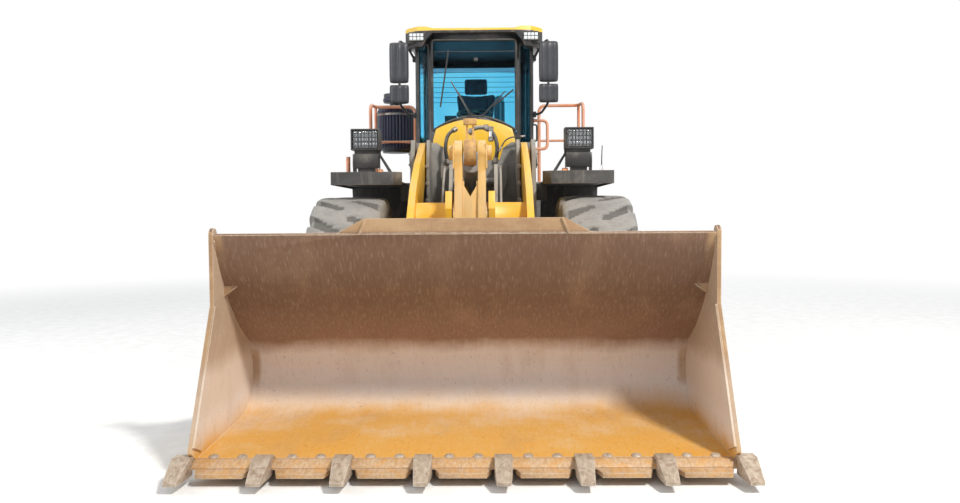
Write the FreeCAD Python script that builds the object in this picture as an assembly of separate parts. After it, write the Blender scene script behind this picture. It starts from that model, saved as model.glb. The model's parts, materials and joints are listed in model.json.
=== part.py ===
import FreeCAD, Part
import math
import os

# Articulated wheel loader with a toothed bucket, on level ground.
# Millimetres, +Z up, forward is -Y, origin on the ground under the middle of its box.
# A side profile is a list of (u, z): u is the distance ahead of the front axle.
V = FreeCAD.Vector
os.makedirs("parts", exist_ok=True)

# Stance
FRONT_AXLE_Y = -1090.0
WHEELBASE = 3550.0
TRACK = 2280.0
TYRE_RADIUS = 862.0
TYRE_WIDTH = 675.0
AXLE_Z = TYRE_RADIUS
REAR_AXLE_Y = FRONT_AXLE_Y + WHEELBASE
PIVOT_Y = FRONT_AXLE_Y + WHEELBASE / 2

# Clearances
RUNNING_FIT = 0.05
SEAT_GAP = 0.3
PLATE_GAP = 5.0

# Tyres: a faceted carcass with slanted lugs, half a pitch apart on the two sides
TYRE_FACETS = 16
LUG_COUNT = 16
LUG_PITCH = 360.0 / LUG_COUNT
LUG_WIDTH = 200.0
LUG_SLANT = 16.0
LUG_INNER = 18.0
LUG_OUTER = 316.0
LUG_ROOT = 750.0
LUG_SHOULDER_X = 215.0
LUG_SHOULDER_FALL = 62.0
TREAD_RADIUS = 826.0
SHOULDER_RADIUS = 775.0
SIDEWALL_RADIUS = 640.0
BEAD_RADIUS = 330.0
BEAD_INSET = 104.0
SIDEWALL_BULGE = 22.0
TREAD_INSET = 105.0

# Rims and hubs
RIM_INSET = 90.0
RIM_WALL = 14.0
RIM_LIP = 34.0
RIM_EDGE = 6.0
HUB_RADIUS = 225.0
HUB_OUTER = 1235.0
SPINDLE_RADIUS = 90.0
SPINDLE_END = 905.0
HUB_FACE = SPINDLE_END - 75.0

# Axles
AXLE_TUBE_RADIUS = 150.0
AXLE_FLANGE_RADIUS = 215.0
AXLE_FLANGE = 45.0
DIFFERENTIAL_RADIUS = 235.0
DIFFERENTIAL_HALF = 160.0
PINION_RADIUS = 100.0
PINION_REACH = 300.0
SHAFT_RADIUS = 50.0
SHAFT_GAP = 60.0
SADDLE_HALF = 45.0
SADDLE_REACH = 150.0
FRONT_SADDLE_Z = 1060.0
REAR_SADDLE_Z = 1080.0

# Articulation
KINGPIN_RADIUS = 50.0
LUG_RADIUS = 135.0
LUG_THICK = 60.0
UPPER_LUG_Z = 1215.0
LOWER_LUG_Z = 610.0
FORK_PLATE = 45.0
LUG_GAP = 2.0
FORK_REACH = 345.0

# Lift arms: pivot on the tower, hinge at the bucket
ARM_PIVOT = (-350.0, 2100.0)
BUCKET_HINGE = (1720.0, 360.0)
ARM_INNER = 470.0
ARM_PLATE = 60.0
ARM_OUTER = ARM_INNER + ARM_PLATE
ARM_END_RADIUS = 140.0
ARM_PIVOT_RADIUS = 165.0
ARM_BOSS_RADIUS = 110.0
ARM_PIN_RADIUS = 60.0
HINGE_PIN_RADIUS = 60.0
PIN_FLANGE_RADIUS = 105.0
PIN_FLANGE = 25.0
CROSS_TUBE = (740.0, 1520.0)
CROSS_BOX = (135.0, 135.0)
CROSS_CUT = (65.0, 120.0)

# Bellcrank and link
CRANK_PIVOT = (1027.0, 1540.0)
CRANK_TOP = (960.0, 2070.0)
CRANK_FOOT = (1112.0, 564.0)
LINK_EYE = (1772.0, 655.0)
CRANK_INNER = 64.0
CRANK_PLATE = 66.0
CRANK_OUTER = CRANK_INNER + CRANK_PLATE
CRANK_BRACKET = 55.0
CRANK_BRACKET_X = CRANK_OUTER + 4 * PLATE_GAP
CRANK_PIN_RADIUS = 55.0
CRANK_HEAD_RADIUS = 100.0
CRANK_FOOT_RADIUS = 85.0
CRANK_BOSS_RADIUS = 115.0
LINK_PIN_RADIUS = 45.0
LINK_HALF = 55.0
LINK_EYE_RADIUS = 80.0
LINK_BAR = (45.0, 65.0)

# Front frame: inner plates low down, leg plates and closing plates up at the arm pivots
TOWER_INNER = 205.0
TOWER_PLATE = 35.0
LEG_INNER = 425.0
LEG_PLATE = 30.0
TOWER_OUTER = 570.0
TOWER_OUTER_PLATE = 40.0
TOWER_REACH = TOWER_OUTER + TOWER_OUTER_PLATE
TOWER_TOP_Z = 2285.0
CLOSING_U = -560.0
CLOSING_PLATE = 25.0
SHIELD_U = -490.0
SHIELD_INNER = 120.0
SHIELD_OUTER = 335.0
SHIELD_TOP_Z = 2100.0
SHIELD_LOW_Z = 1500.0

# Cylinders: (base, rod eye) in side profile, middle across
TILT_BASE = (-442.0, 1880.0)
TILT_BARREL_RADIUS = 95.0
TILT_ROD_RADIUS = 46.0
TILT_EYE_RADIUS = 108.0
TILT_BRACKET_HALF = 55.0
LIFT_BASE = (-780.0, 980.0)
LIFT_EYE = (500.0, 1320.0)
LIFT_X = 335.0
LIFT_BARREL_RADIUS = 78.0
LIFT_ROD_RADIUS = 45.0
LIFT_EYE_RADIUS = 70.0
LIFT_LUG_PLATE = 23.0
CYLINDER_PIN_RADIUS = 40.0
EYE_HALF = 50.0
GLAND_RISE = 5.0
STEER_BASE = (240.0, 700.0)
STEER_EYE = (300.0, -300.0)
STEER_Z = 980.0
STEER_EYE_HALF = 52.0
STEER_EYE_RADIUS = 50.0
STEER_BARREL_RADIUS = 50.0
STEER_ROD_RADIUS = 28.0
STEER_PIN_RADIUS = 26.0
STEER_LUG_PLATE = 30.0

# Front fenders and lamps
FENDER_Z = 1850.0
FENDER_PLATE = 14.0
FENDER_INNER = 660.0
FENDER_OUTER = 1300.0
FENDER_FRONT_U = 300.0
FENDER_REAR_U = -880.0
FENDER_LIP_LOW = 20.0
FENDER_LIP_HIGH = 100.0
FENDER_LIP_PLATE = 12.0
LAMP_X = 990.0
LAMP_HALF = 132.0
LAMP_LOW_Z = 2155.0
LAMP_TOP_Z = 2350.0
LAMP_FRONT_U = 250.0
LAMP_REAR_U = 90.0
CAGE_BAR = 6.0
CAGE_FRAME = 12.0

# Bucket
BUCKET_HALF = 1600.0
BUCKET_WALL = 25.0
FLOOR_FRONT = (3100.0, 122.0)
FLOOR_BACK = (2230.0, 158.0)
HEEL = (1932.0, 460.0)
BACK_LOW = (2010.0, 645.0)
BACK_MID = (2420.0, 935.0)
LIP = (2760.0, 1430.0)
CHEEK_STEP = (2760.0, 990.0)
CHEEK_FOOT = (3200.0, 175.0)
CHEEK_EAR = 45.0
GUSSET_REACH = 97.0
GUSSET_ROOT = (1023.0, 1251.0)
GUSSET_NOSE = (1098.0, 1152.0)
GUSSET_FRONT = 2560.0
BASE_EDGE_FRONT = 3195.0
BASE_EDGE_BACK = 2980.0
BASE_EDGE_LOW = 78.0
SEGMENT_COUNT = 7
SEGMENT_FRONT = 3270.0
SEGMENT_BACK = 3020.0
SEGMENT_THICK = 28.0
SEGMENT_BACK_HALF = 164.0
SEGMENT_FRONT_HALF = 136.0
TOOTH_COUNT = SEGMENT_COUNT + 1
TOOTH_WIDTH = 105.0
TOOTH_PITCH = (2 * BUCKET_HALF + 62) / SEGMENT_COUNT
TOOTH_TIP = 3400.0
TOOTH_BACK = 3090.0
TOOTH_RISE = 32.0
TOOTH_LOW = 44.0
TOOTH_TIP_HALF = 40.0
SPILL_RISE = 100.0
SPILL_HALF = 620.0
SPILL_FOOT = 670.0
SPILL_WING = 850.0
SPILL_PLATE = 22.0
EAR_PLATE = 35.0
EAR_BOSS_RADIUS = 110.0
FORK_HALF = 70.0
FORK_BOSS_RADIUS = 95.0

# Cab, placed from the pivot
CAB_HALF = 640.0
CAB_FRONT_Y = PIVOT_Y - 825.0
CAB_CORNER_Y = CAB_FRONT_Y + 200.0
CAB_REAR_Y = CAB_FRONT_Y + 1740.0
CAB_FLOOR_Z = 1930.0
CAB_FLOOR_PLATE = 50.0
CAB_TOP_Z = 3470.0
CAB_RAIL_Z = CAB_TOP_Z - 50.0
CAB_SIDE_RAIL_Z = CAB_TOP_Z - 130.0
CAB_SILL_Z = CAB_TOP_Z - 1170.0
CAB_WALL = 45.0
SCREEN_HALF = 455.0
SCREEN_SIDE_Z = CAB_TOP_Z - 1030.0
SCREEN_MIDDLE_Z = CAB_TOP_Z - 880.0
CORNER_GLASS = (490.0, 600.0)
ROOF_TOP_Z = CAB_TOP_Z + 70.0
ROOF_HALF = 733.0
ROOF_OVERHANG = 60.0
ROOF_DIP = 22.0
POD_INNER = 430.0
POD_LOW_Z = CAB_TOP_Z - 140.0
POD_LAMP = (604.0, CAB_TOP_Z - 40.0)
POD_LAMP_HALF = (85.0, 45.0)
COWL_HALF = 430.0
COWL_SIDE_Z = SCREEN_SIDE_Z - 110.0
COWL_SHOULDER = (398.0, SCREEN_SIDE_Z + 5.0)
COWL_TOP_Z = SCREEN_MIDDLE_Z - 42.0
COWL_LOW_Z = 2120.0
COWL_REACH = 180.0
DOOR_FRONT_Y = CAB_FRONT_Y + 290.0
DOOR_REAR_Y = CAB_FRONT_Y + 1120.0
DOOR_SILL_Z = 2000.0
DOOR_HEAD_Z = CAB_SIDE_RAIL_Z - 20.0
DOOR_FRAME = 60.0
DOOR_HINGE = (CAB_HALF + 24.0, DOOR_REAR_Y)
DOOR_HINGE_Z = (CAB_TOP_Z - 1220.0, CAB_TOP_Z - 420.0)
KNUCKLE_RADIUS = 22.0
KNUCKLE_HALF = 40.0
KNUCKLE_GAP = 2.0
DOOR_PIN_RADIUS = 12.0
GLASS = 8.0

# Rear frame and body, placed from the cab and the rear axle
FRAME_HALF = 440.0
FRAME_PLATE = 35.0
FRAME_REACH = FRAME_HALF + FRAME_PLATE
FRAME_FRONT_Y = PIVOT_Y + 330.0
FRAME_LOW_Z = 620.0
CAB_BEAM_Z = 1360.0
HOOD_HALF = 640.0
HOOD_FRONT_Y = CAB_REAR_Y + 80.0
HOOD_REAR_Y = REAR_AXLE_Y + 1720.0
RAIL_TOP_Z = 1438.0
HOOD_BOTTOM_Z = RAIL_TOP_Z + SEAT_GAP
HOOD_TOP_Z = 2560.0
HOOD_REAR_TOP_Z = 2380.0
HOOD_CHAMFER = 130.0
HOOD_WALL = 12.0
GRILLE_SLOT = 26.0
GRILLE_PITCH = 52.0
GRILLE_SIDE_COUNT = 16
GRILLE_REAR_COUNT = 11
WEIGHT_HALF = 1150.0
WEIGHT_CORNER = 250.0
WEIGHT_FRONT_Y = HOOD_REAR_Y - 420.0
WEIGHT_LOW_Z = 900.0
WEIGHT_TOP_Z = 1600.0
REAR_END_Y = HOOD_REAR_Y + 280.0
TOW_PIN_Y = REAR_END_Y - 65.0
TOW_PIN_RADIUS = 30.0
DECK_Z = 1905.0
DECK_PLATE = 30.0
DECK_HALF = 1400.0
DECK_FRONT_Y = PIVOT_Y + 195.0
DECK_REAR_Y = CAB_REAR_Y + 180.0
TANK_HALF = 1180.0
TANK_LOW_Z = 700.0
TANK_REAR_Y = REAR_AXLE_Y - TYRE_RADIUS - 128.0
STEP_LOW_Z = 520.0
STEP_RISE = 340.0
STEP_COUNT = 4
STEP_RUN = 400.0
STEP_PLATE = 25.0
RAIL_RADIUS = 19.0
RAIL_BAR_RADIUS = 16.0
RAIL_TOP = 2950.0
RAIL_MIDDLE = 2500.0
FENDER_RADIUS = 1000.0
REAR_FENDER_INNER = 690.0
REAR_FENDER_OUTER = 1420.0


def at(u):
    return FRONT_AXLE_Y - u


def box(x0, x1, y0, y1, z0, z1):
    """A block between two corners, given in either order along each axis."""
    low = V(min(x0, x1), min(y0, y1), min(z0, z1))
    return Part.makeBox(abs(x1 - x0), abs(y1 - y0), abs(z1 - z0), low)


def rod(start, end, radius):
    axis = V(*end) - V(*start)
    return Part.makeCylinder(radius, axis.Length, V(*start), axis)


def cross_rod(x0, x1, point, radius):
    u, z = point
    return rod((x0, at(u), z), (x1, at(u), z), radius)


def prism(corners, travel):
    face = Part.Face(Part.makePolygon(corners + corners[:1]))
    return face.extrude(travel)


def plate(points, x0, x1):
    """A side profile of (u, z) points, carried from x0 to x1."""
    return prism([V(x0, at(u), z) for u, z in points], V(x1 - x0, 0, 0))


def slab(points, z0, z1):
    """A plan of (x, y) points, carried from z0 to z1."""
    return prism([V(x, y, z0) for x, y in points], V(0, 0, z1 - z0))


def panel(points, y0, y1):
    """A front view of (x, z) points, carried from y0 to y1."""
    return prism([V(x, y0, z) for x, z in points], V(0, y1 - y0, 0))


def mirrored(shape):
    return shape.mirror(V(0, 0, 0), V(1, 0, 0))


def pair(shape):
    return [shape, mirrored(shape)]


def fused(shapes):
    whole = shapes[0].multiFuse(list(shapes[1:])) if len(shapes) > 1 else shapes[0]
    return whole.removeSplitter()


def drilled(shape, holes):
    for hole in holes:
        shape = shape.cut(hole)
    return shape


def save(name, shapes):
    solids = []
    for shape in shapes:
        solids += shape.Solids
    body = solids[0] if len(solids) == 1 else Part.makeCompound(solids)
    body.exportStep("parts/" + name + ".step")
    volume = sum(solid.Volume for solid in solids)
    print(f"{name}: {len(solids)} solids, {volume / 1e6:.1f} litres, valid {body.isValid()}")


def between(start, end, share):
    return tuple(a + (b - a) * share for a, b in zip(start, end))


def upright(centre, half, radius):
    x, y, z = centre
    return rod((x, y, z - half), (x, y, z + half), radius)


def pin_eye(point, radius, half, middle=0.0):
    return cross_rod(middle - half, middle + half, point, radius)


def arc_points(start, middle, end, count):
    curve = Part.Arc(V(start[0], start[1], 0), V(middle[0], middle[1], 0), V(end[0], end[1], 0))
    first, last = curve.FirstParameter, curve.LastParameter
    points = [curve.value(first + (last - first) * step / count) for step in range(count + 1)]
    return [(point.x, point.y) for point in points]


def facet_ring(profile, count):
    """Turns an (x, radius) outline round the x axis in flat facets, as one closed shell."""
    rings = []
    for index in range(count):
        angle = (index + 0.5) * 2 * math.pi / count
        rings.append([V(x, -radius * math.sin(angle), -radius * math.cos(angle)) for x, radius in profile])
    faces = []
    for ring_a, ring_b in zip(rings, rings[1:] + rings[:1]):
        for index in range(len(profile)):
            corners = [ring_a[index - 1], ring_a[index], ring_b[index], ring_b[index - 1]]
            faces.append(Part.Face(Part.makePolygon(corners + corners[:1])))
    solid = Part.Solid(Part.Shell(faces))
    if solid.Volume < 0:
        solid.reverse()
    return solid


def lug_corner():
    """How far a lug's corner lies from the lug's middle along the tread."""
    slant = math.radians(LUG_SLANT)
    half_length = (LUG_SHOULDER_X - LUG_INNER) / 2
    return LUG_WIDTH / 2 * math.cos(slant) + half_length * math.sin(slant)


def lug_top():
    """Height of a lug's flat top, so that its corners reach the tyre's radius."""
    return math.sqrt(TYRE_RADIUS ** 2 - lug_corner() ** 2)


def tread_lug():
    top = lug_top()
    profile = [
        (LUG_INNER, LUG_ROOT), (LUG_INNER, top), (LUG_SHOULDER_X, top),
        (LUG_OUTER, top - LUG_SHOULDER_FALL), (LUG_OUTER, LUG_ROOT),
    ]
    bar = prism([V(x, -LUG_WIDTH / 2, -radius) for x, radius in profile], V(0, LUG_WIDTH, 0))
    bar.rotate(V((LUG_INNER + LUG_SHOULDER_X) / 2, 0, 0), V(0, 0, 1), LUG_SLANT)
    return bar


def tyre():
    """A tyre about the x axis with its middle at the origin."""
    half = TYRE_WIDTH / 2
    bead = half - BEAD_INSET
    wall = BEAD_RADIUS / math.cos(math.pi / TYRE_FACETS)
    lip = wall + RIM_LIP + PLATE_GAP
    side = [(bead, wall), (bead, lip), (half, SIDEWALL_RADIUS),
            (half - SIDEWALL_BULGE, SHOULDER_RADIUS), (half - TREAD_INSET, TREAD_RADIUS)]
    profile = side + [(-x, radius) for x, radius in side[::-1]]
    pieces = [facet_ring(profile, TYRE_FACETS)]
    lug = tread_lug()
    corner_turn = math.degrees(math.asin(lug_corner() / TYRE_RADIUS))
    for index in range(LUG_COUNT):
        for side_lug, start in ((lug, 0.0), (mirrored(lug), LUG_PITCH / 2)):
            turned = side_lug.copy()
            turned.rotate(V(0, 0, 0), V(1, 0, 0), corner_turn + start + index * LUG_PITCH)
            pieces.append(turned)
    return fused(pieces)


def ring(profile, centre_y, side):
    """Turns an (x, radius) outline about the wheel's axle."""
    corners = [V(side * x, centre_y, AXLE_Z + radius) for x, radius in profile]
    face = Part.Face(Part.makePolygon(corners + corners[:1]))
    return face.revolve(V(0, centre_y, AXLE_Z), V(1, 0, 0), 360)


def rim(centre_y, side):
    inner = TRACK / 2 - TYRE_WIDTH / 2 + RIM_INSET
    outer = TRACK / 2 + TYRE_WIDTH / 2 - RIM_INSET
    bore = BEAD_RADIUS - SEAT_GAP
    disc = TRACK / 2 - 40
    profile = [
        (HUB_FACE, SPINDLE_RADIUS + RUNNING_FIT),
        (SPINDLE_END + PLATE_GAP, SPINDLE_RADIUS + RUNNING_FIT),
        (SPINDLE_END + PLATE_GAP, 0),
        (HUB_OUTER, 0),
        (HUB_OUTER, HUB_RADIUS * 0.55),
        (HUB_OUTER - 40, HUB_RADIUS * 0.62),
        (HUB_OUTER - 60, HUB_RADIUS),
        (disc + 30, HUB_RADIUS),
        (disc + 30, bore - RIM_WALL),
        (outer - RIM_EDGE, bore - RIM_WALL),
        (outer - RIM_EDGE, bore + RIM_LIP),
        (outer - RIM_WALL + SEAT_GAP, bore + RIM_LIP),
        (outer - RIM_WALL + SEAT_GAP, bore),
        (inner + RIM_WALL - SEAT_GAP, bore),
        (inner + RIM_WALL - SEAT_GAP, bore + RIM_LIP),
        (inner + RIM_EDGE, bore + RIM_LIP),
        (inner + RIM_EDGE, bore - RIM_WALL),
        (disc, bore - RIM_WALL),
        (disc, HUB_RADIUS),
        (HUB_FACE, HUB_RADIUS * 0.9),
    ]
    return ring(profile, centre_y, side)


def wheels():
    whole = tyre()
    for end, centre_y in (("front", FRONT_AXLE_Y), ("rear", REAR_AXLE_Y)):
        for hand, side in (("left", 1), ("right", -1)):
            placed = whole.copy()
            placed.translate(V(side * TRACK / 2, centre_y, AXLE_Z))
            save(f"{end}_{hand}_rim", [rim(centre_y, side)])
            save(f"{end}_{hand}_tyre", [placed])


def axle(centre_y, saddle_x, saddle_z):
    flange_end = HUB_FACE - SEAT_GAP
    half = DIFFERENTIAL_HALF
    pieces = [
        rod((-flange_end, centre_y, AXLE_Z), (flange_end, centre_y, AXLE_Z), AXLE_TUBE_RADIUS),
        rod((-SPINDLE_END, centre_y, AXLE_Z), (SPINDLE_END, centre_y, AXLE_Z), SPINDLE_RADIUS),
        rod((-half, centre_y, AXLE_Z), (half, centre_y, AXLE_Z), DIFFERENTIAL_RADIUS),
    ]
    for side in (-1, 1):
        start = (side * (flange_end - AXLE_FLANGE), centre_y, AXLE_Z)
        pieces.append(rod(start, (side * flange_end, centre_y, AXLE_Z), AXLE_FLANGE_RADIUS))
        x = side * saddle_x
        pieces.append(box(x - SADDLE_HALF, x + SADDLE_HALF, centre_y - SADDLE_REACH, centre_y + SADDLE_REACH,
                          AXLE_Z, saddle_z))
    return pieces


def axles():
    front_nose = (0, FRONT_AXLE_Y + PINION_REACH, AXLE_Z)
    front = axle(FRONT_AXLE_Y, TOWER_INNER + TOWER_PLATE / 2, FRONT_SADDLE_Z)
    front.append(rod((0, FRONT_AXLE_Y, AXLE_Z), front_nose, PINION_RADIUS))
    front.append(rod(front_nose, (0, PIVOT_Y - SHAFT_GAP, AXLE_Z), SHAFT_RADIUS))
    save("front_axle", [fused(front)])
    rear = axle(REAR_AXLE_Y, FRAME_HALF + FRAME_PLATE / 2, REAR_SADDLE_Z - SEAT_GAP)
    rear.append(rod((0, REAR_AXLE_Y, AXLE_Z), (0, REAR_AXLE_Y - PINION_REACH, AXLE_Z), PINION_RADIUS))
    save("rear_axle", [fused(rear)])


def cylinder_pair(base, eye, middle, radii, shares, eye_radius):
    """Barrel and rod between two eyes: radii (barrel, rod), shares (back, bore, tail, gland)."""
    barrel_radius, rod_radius = radii
    back, bore_start, tail, gland = shares
    start = (middle, at(base[0]), base[1])
    end = (middle, at(eye[0]), eye[1])
    bore = rod(between(start, end, bore_start), between(start, end, gland + 0.05), rod_radius + RUNNING_FIT)
    barrel = fused([
        rod(between(start, end, back), between(start, end, gland), barrel_radius),
        rod(start, between(start, end, back + 0.02), barrel_radius * 0.7),
        pin_eye(base, eye_radius, EYE_HALF, middle),
        rod(between(start, end, gland - 0.05), between(start, end, gland), barrel_radius + GLAND_RISE),
    ])
    hole = pin_eye(base, CYLINDER_PIN_RADIUS + RUNNING_FIT, 2 * EYE_HALF, middle)
    barrel = drilled(barrel, [bore, hole])
    piston = [
        rod(between(start, end, tail), end, rod_radius),
        pin_eye(eye, eye_radius, EYE_HALF, middle),
    ]
    return barrel, piston


def lift_cylinders():
    shares = (0.07, 0.09, 0.10, 0.90)
    radii = (LIFT_BARREL_RADIUS, LIFT_ROD_RADIUS)
    barrel, piston = cylinder_pair(LIFT_BASE, LIFT_EYE, LIFT_X, radii, shares, LIFT_EYE_RADIUS)
    save("lift_barrels", pair(barrel))
    save("lift_rods", pair(fused(piston)))


def tilt_cylinder():
    """The rod's eye carries a small boxed stand for the level sensor."""
    shares = (0.07, 0.078, 0.135, 0.74)
    radii = (TILT_BARREL_RADIUS, TILT_ROD_RADIUS)
    barrel, piston = cylinder_pair(TILT_BASE, CRANK_TOP, 0.0, radii, shares, TILT_EYE_RADIUS)
    u, z = CRANK_TOP
    top = z + TILT_EYE_RADIUS
    for x in (-26, 26):
        piston.append(box(x - 8, x + 8, at(u - 30), at(u - 10), top - 20, top + 130))
    piston.append(box(-TILT_BRACKET_HALF, TILT_BRACKET_HALF, at(u - 55), at(u + 15), top + 125, top + 175))
    save("tilt_barrel", [barrel])
    save("tilt_rod", [fused(piston)])


def steering_cylinders():
    for hand, side in (("left", 1), ("right", -1)):
        start = (side * STEER_BASE[0], PIVOT_Y + STEER_BASE[1], STEER_Z)
        end = (side * STEER_EYE[0], PIVOT_Y + STEER_EYE[1], STEER_Z)
        gland = between(start, end, 0.62)
        barrel = fused([
            rod(between(start, end, 0.04), gland, STEER_BARREL_RADIUS),
            upright(start, STEER_EYE_HALF, STEER_BARREL_RADIUS + GLAND_RISE),
        ])
        holes = [
            rod(between(start, end, 0.06), end, STEER_ROD_RADIUS + RUNNING_FIT),
            upright(start, 2 * STEER_EYE_HALF, STEER_PIN_RADIUS + RUNNING_FIT),
        ]
        save(f"steer_barrel_{hand}", [drilled(barrel, holes)])
        piston = fused([
            rod(between(start, end, 0.25), end, STEER_ROD_RADIUS),
            upright(end, STEER_EYE_HALF, STEER_EYE_RADIUS),
        ])
        save(f"steer_rod_{hand}", [piston])


def tower_top():
    """Leg plates at the arm pivots, the plate behind them and the rounded shields beside the bellcrank."""
    leg = plate([(-190, 1540), (-150, 2080), (-230, TOWER_TOP_Z), (-480, TOWER_TOP_Z), (CLOSING_U, 2200),
                 (CLOSING_U, SHIELD_LOW_Z)], LEG_INNER, LEG_INNER + LEG_PLATE)
    closing = panel([(TOWER_INNER + 30, SHIELD_LOW_Z), (TOWER_INNER + 30, 2020), (300, 2230),
                     (380, TOWER_TOP_Z), (TOWER_REACH, TOWER_TOP_Z), (TOWER_REACH, 1760), (LEG_INNER, SHIELD_LOW_Z)],
                    at(CLOSING_U), at(CLOSING_U - CLOSING_PLATE))
    corner = arc_points((SHIELD_OUTER - 70, SHIELD_TOP_Z), (SHIELD_OUTER - 20, SHIELD_TOP_Z - 20),
                        (SHIELD_OUTER, SHIELD_TOP_Z - 70), 4)
    shield = panel([(SHIELD_INNER, SHIELD_LOW_Z), (SHIELD_INNER, SHIELD_TOP_Z)] + corner + [
        (SHIELD_OUTER, 1870), (TOWER_INNER + TOWER_PLATE, 1640), (TOWER_INNER + TOWER_PLATE, SHIELD_LOW_Z)],
        at(SHIELD_U), at(SHIELD_U - CLOSING_PLATE))
    web = box(TOWER_INNER, TOWER_INNER + 45, at(SHIELD_U - 10), at(CLOSING_U - 10), SHIELD_LOW_Z, 1640)
    return pair(leg) + pair(closing) + pair(shield) + pair(web)


def front_frame():
    inner_profile = [
        (560, 1060), (560, 1180), (250, 1500), (-180, 1800), (-330, 2050), (-560, 2050),
        (-700, 1960), (-820, 1500), (-960, 1290), (-1300, 1290), (-1300, 760), (-960, 720),
        (-420, 640), (-230, FRONT_SADDLE_Z), (230, FRONT_SADDLE_Z), (300, 860), (480, 860),
    ]
    outer_profile = [
        (150, 1060), (150, 1240), (-60, 1560), (-150, 2080), (-240, TOWER_TOP_Z), (-480, TOWER_TOP_Z),
        (-620, 1960), (-800, 1300), (-930, 1180), (-930, 760), (-420, 700), (-230, FRONT_SADDLE_Z),
    ]
    inner = plate(inner_profile, TOWER_INNER, TOWER_INNER + TOWER_PLATE)
    outer = plate(outer_profile, TOWER_OUTER, TOWER_REACH)
    reach = TOWER_REACH
    deck_half = TOWER_INNER + 10
    pieces = pair(inner) + pair(outer) + tower_top()
    pieces += pair(cross_rod(LEG_INNER, reach + 20, ARM_PIVOT, ARM_PIN_RADIUS))
    pieces += pair(cross_rod(reach - 5, reach + 20, ARM_PIVOT, ARM_PIN_RADIUS + 30))
    pieces += pair(cross_rod(TOWER_INNER, reach, LIFT_BASE, CYLINDER_PIN_RADIUS))
    bay = [box(side * LIFT_X - 100, side * LIFT_X + 100, at(-500), at(-700), 1100, 1300) for side in (-1, 1)]
    pieces += [
        box(-deck_half, deck_half, at(540), at(440), 900, 1120),
        box(-deck_half, deck_half, at(200), at(-220), 1105, 1155),
        box(-reach, reach, at(-640), at(-930), 760, 800),
        box(-deck_half, deck_half, at(-930), at(-1290), 1230, 1290),
        drilled(box(-reach, reach, at(-560), at(-600), 1150, 1200), bay),
        cross_rod(-TOWER_INNER - 5, TOWER_INNER + 5, (-690, 1600), 45),
        pin_eye(TILT_BASE, CYLINDER_PIN_RADIUS, TOWER_INNER + 5),
    ]
    for z in (UPPER_LUG_Z, LOWER_LUG_Z):
        lug = slab([(-240, at(-1290)), (-110, PIVOT_Y), (110, PIVOT_Y), (240, at(-1290))], z, z + LUG_THICK)
        pieces.append(lug.fuse(rod((0, PIVOT_Y, z), (0, PIVOT_Y, z + LUG_THICK), LUG_RADIUS)))
    pieces.append(box(-240, 240, at(-1300), at(-1260), LOWER_LUG_Z, 1290))
    for side in (-1, 1):
        for low in (STEER_Z - STEER_EYE_HALF - PLATE_GAP - STEER_LUG_PLATE, STEER_Z + STEER_EYE_HALF + PLATE_GAP):
            cheek = slab([(side * TOWER_INNER, at(-1290)), (side * TOWER_INNER, at(-1100)), (side * 300, at(-1290)),
                          (side * (STEER_EYE[0] + 65), PIVOT_Y + STEER_EYE[1] + 40),
                          (side * (STEER_EYE[0] - 55), PIVOT_Y + STEER_EYE[1] + 60)], low, low + STEER_LUG_PLATE)
            pieces.append(cheek)
    frame = fused(pieces)
    holes = [
        rod((0, PIVOT_Y, 0), (0, PIVOT_Y, 2000), KINGPIN_RADIUS + RUNNING_FIT),
        rod((0, at(-1200), AXLE_Z), (0, at(-1400), AXLE_Z), SHAFT_RADIUS + 45),
    ]
    save("front_frame", [drilled(frame, holes)])


def front_fenders():
    """A flat plate each side, with a folded front lip whose inner corner is cut back, and a guard behind."""
    front, rear = at(FENDER_FRONT_U), at(FENDER_REAR_U)
    lip_front = at(FENDER_FRONT_U + FENDER_LIP_PLATE)
    corner = FENDER_INNER + 65
    low, high = FENDER_Z - FENDER_LIP_LOW, FENDER_Z + FENDER_LIP_HIGH
    deck = slab([(corner, front), (FENDER_OUTER, front), (FENDER_OUTER, rear), (FENDER_INNER, rear),
                 (FENDER_INNER, front + 65)], FENDER_Z, FENDER_Z + FENDER_PLATE)
    lip = slab([(corner, front), (corner, lip_front), (FENDER_OUTER, lip_front), (FENDER_OUTER, front)], low, high)
    fold = slab([(corner, front), (corner, lip_front), (FENDER_INNER - 10, front + 65), (FENDER_INNER, front + 65)],
                low, high)
    flange = slab([(corner, lip_front), (FENDER_OUTER, lip_front), (FENDER_OUTER, front + 30), (corner, front + 30)],
                  low, low + 8)
    side = box(FENDER_OUTER - FENDER_LIP_PLATE, FENDER_OUTER, front, rear, low, FENDER_Z + FENDER_PLATE)
    guard = plate([(FENDER_REAR_U + 12, FENDER_Z), (FENDER_REAR_U, FENDER_Z), (FENDER_REAR_U - 130, 1330),
                   (FENDER_REAR_U - 118, 1330)], FENDER_INNER + 40, FENDER_OUTER)
    bracket = box(TOWER_REACH + SEAT_GAP, FENDER_INNER + 60, at(-240), at(-440), FENDER_Z - 160, FENDER_Z)
    brace = plate([(-420, 1700), (-440, 1690), (-840, FENDER_Z), (-800, FENDER_Z)], TOWER_REACH + 25, FENDER_INNER + 40)
    save("front_fenders", pair(fused([deck, lip, fold, flange, side, guard, bracket, brace])))


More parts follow.
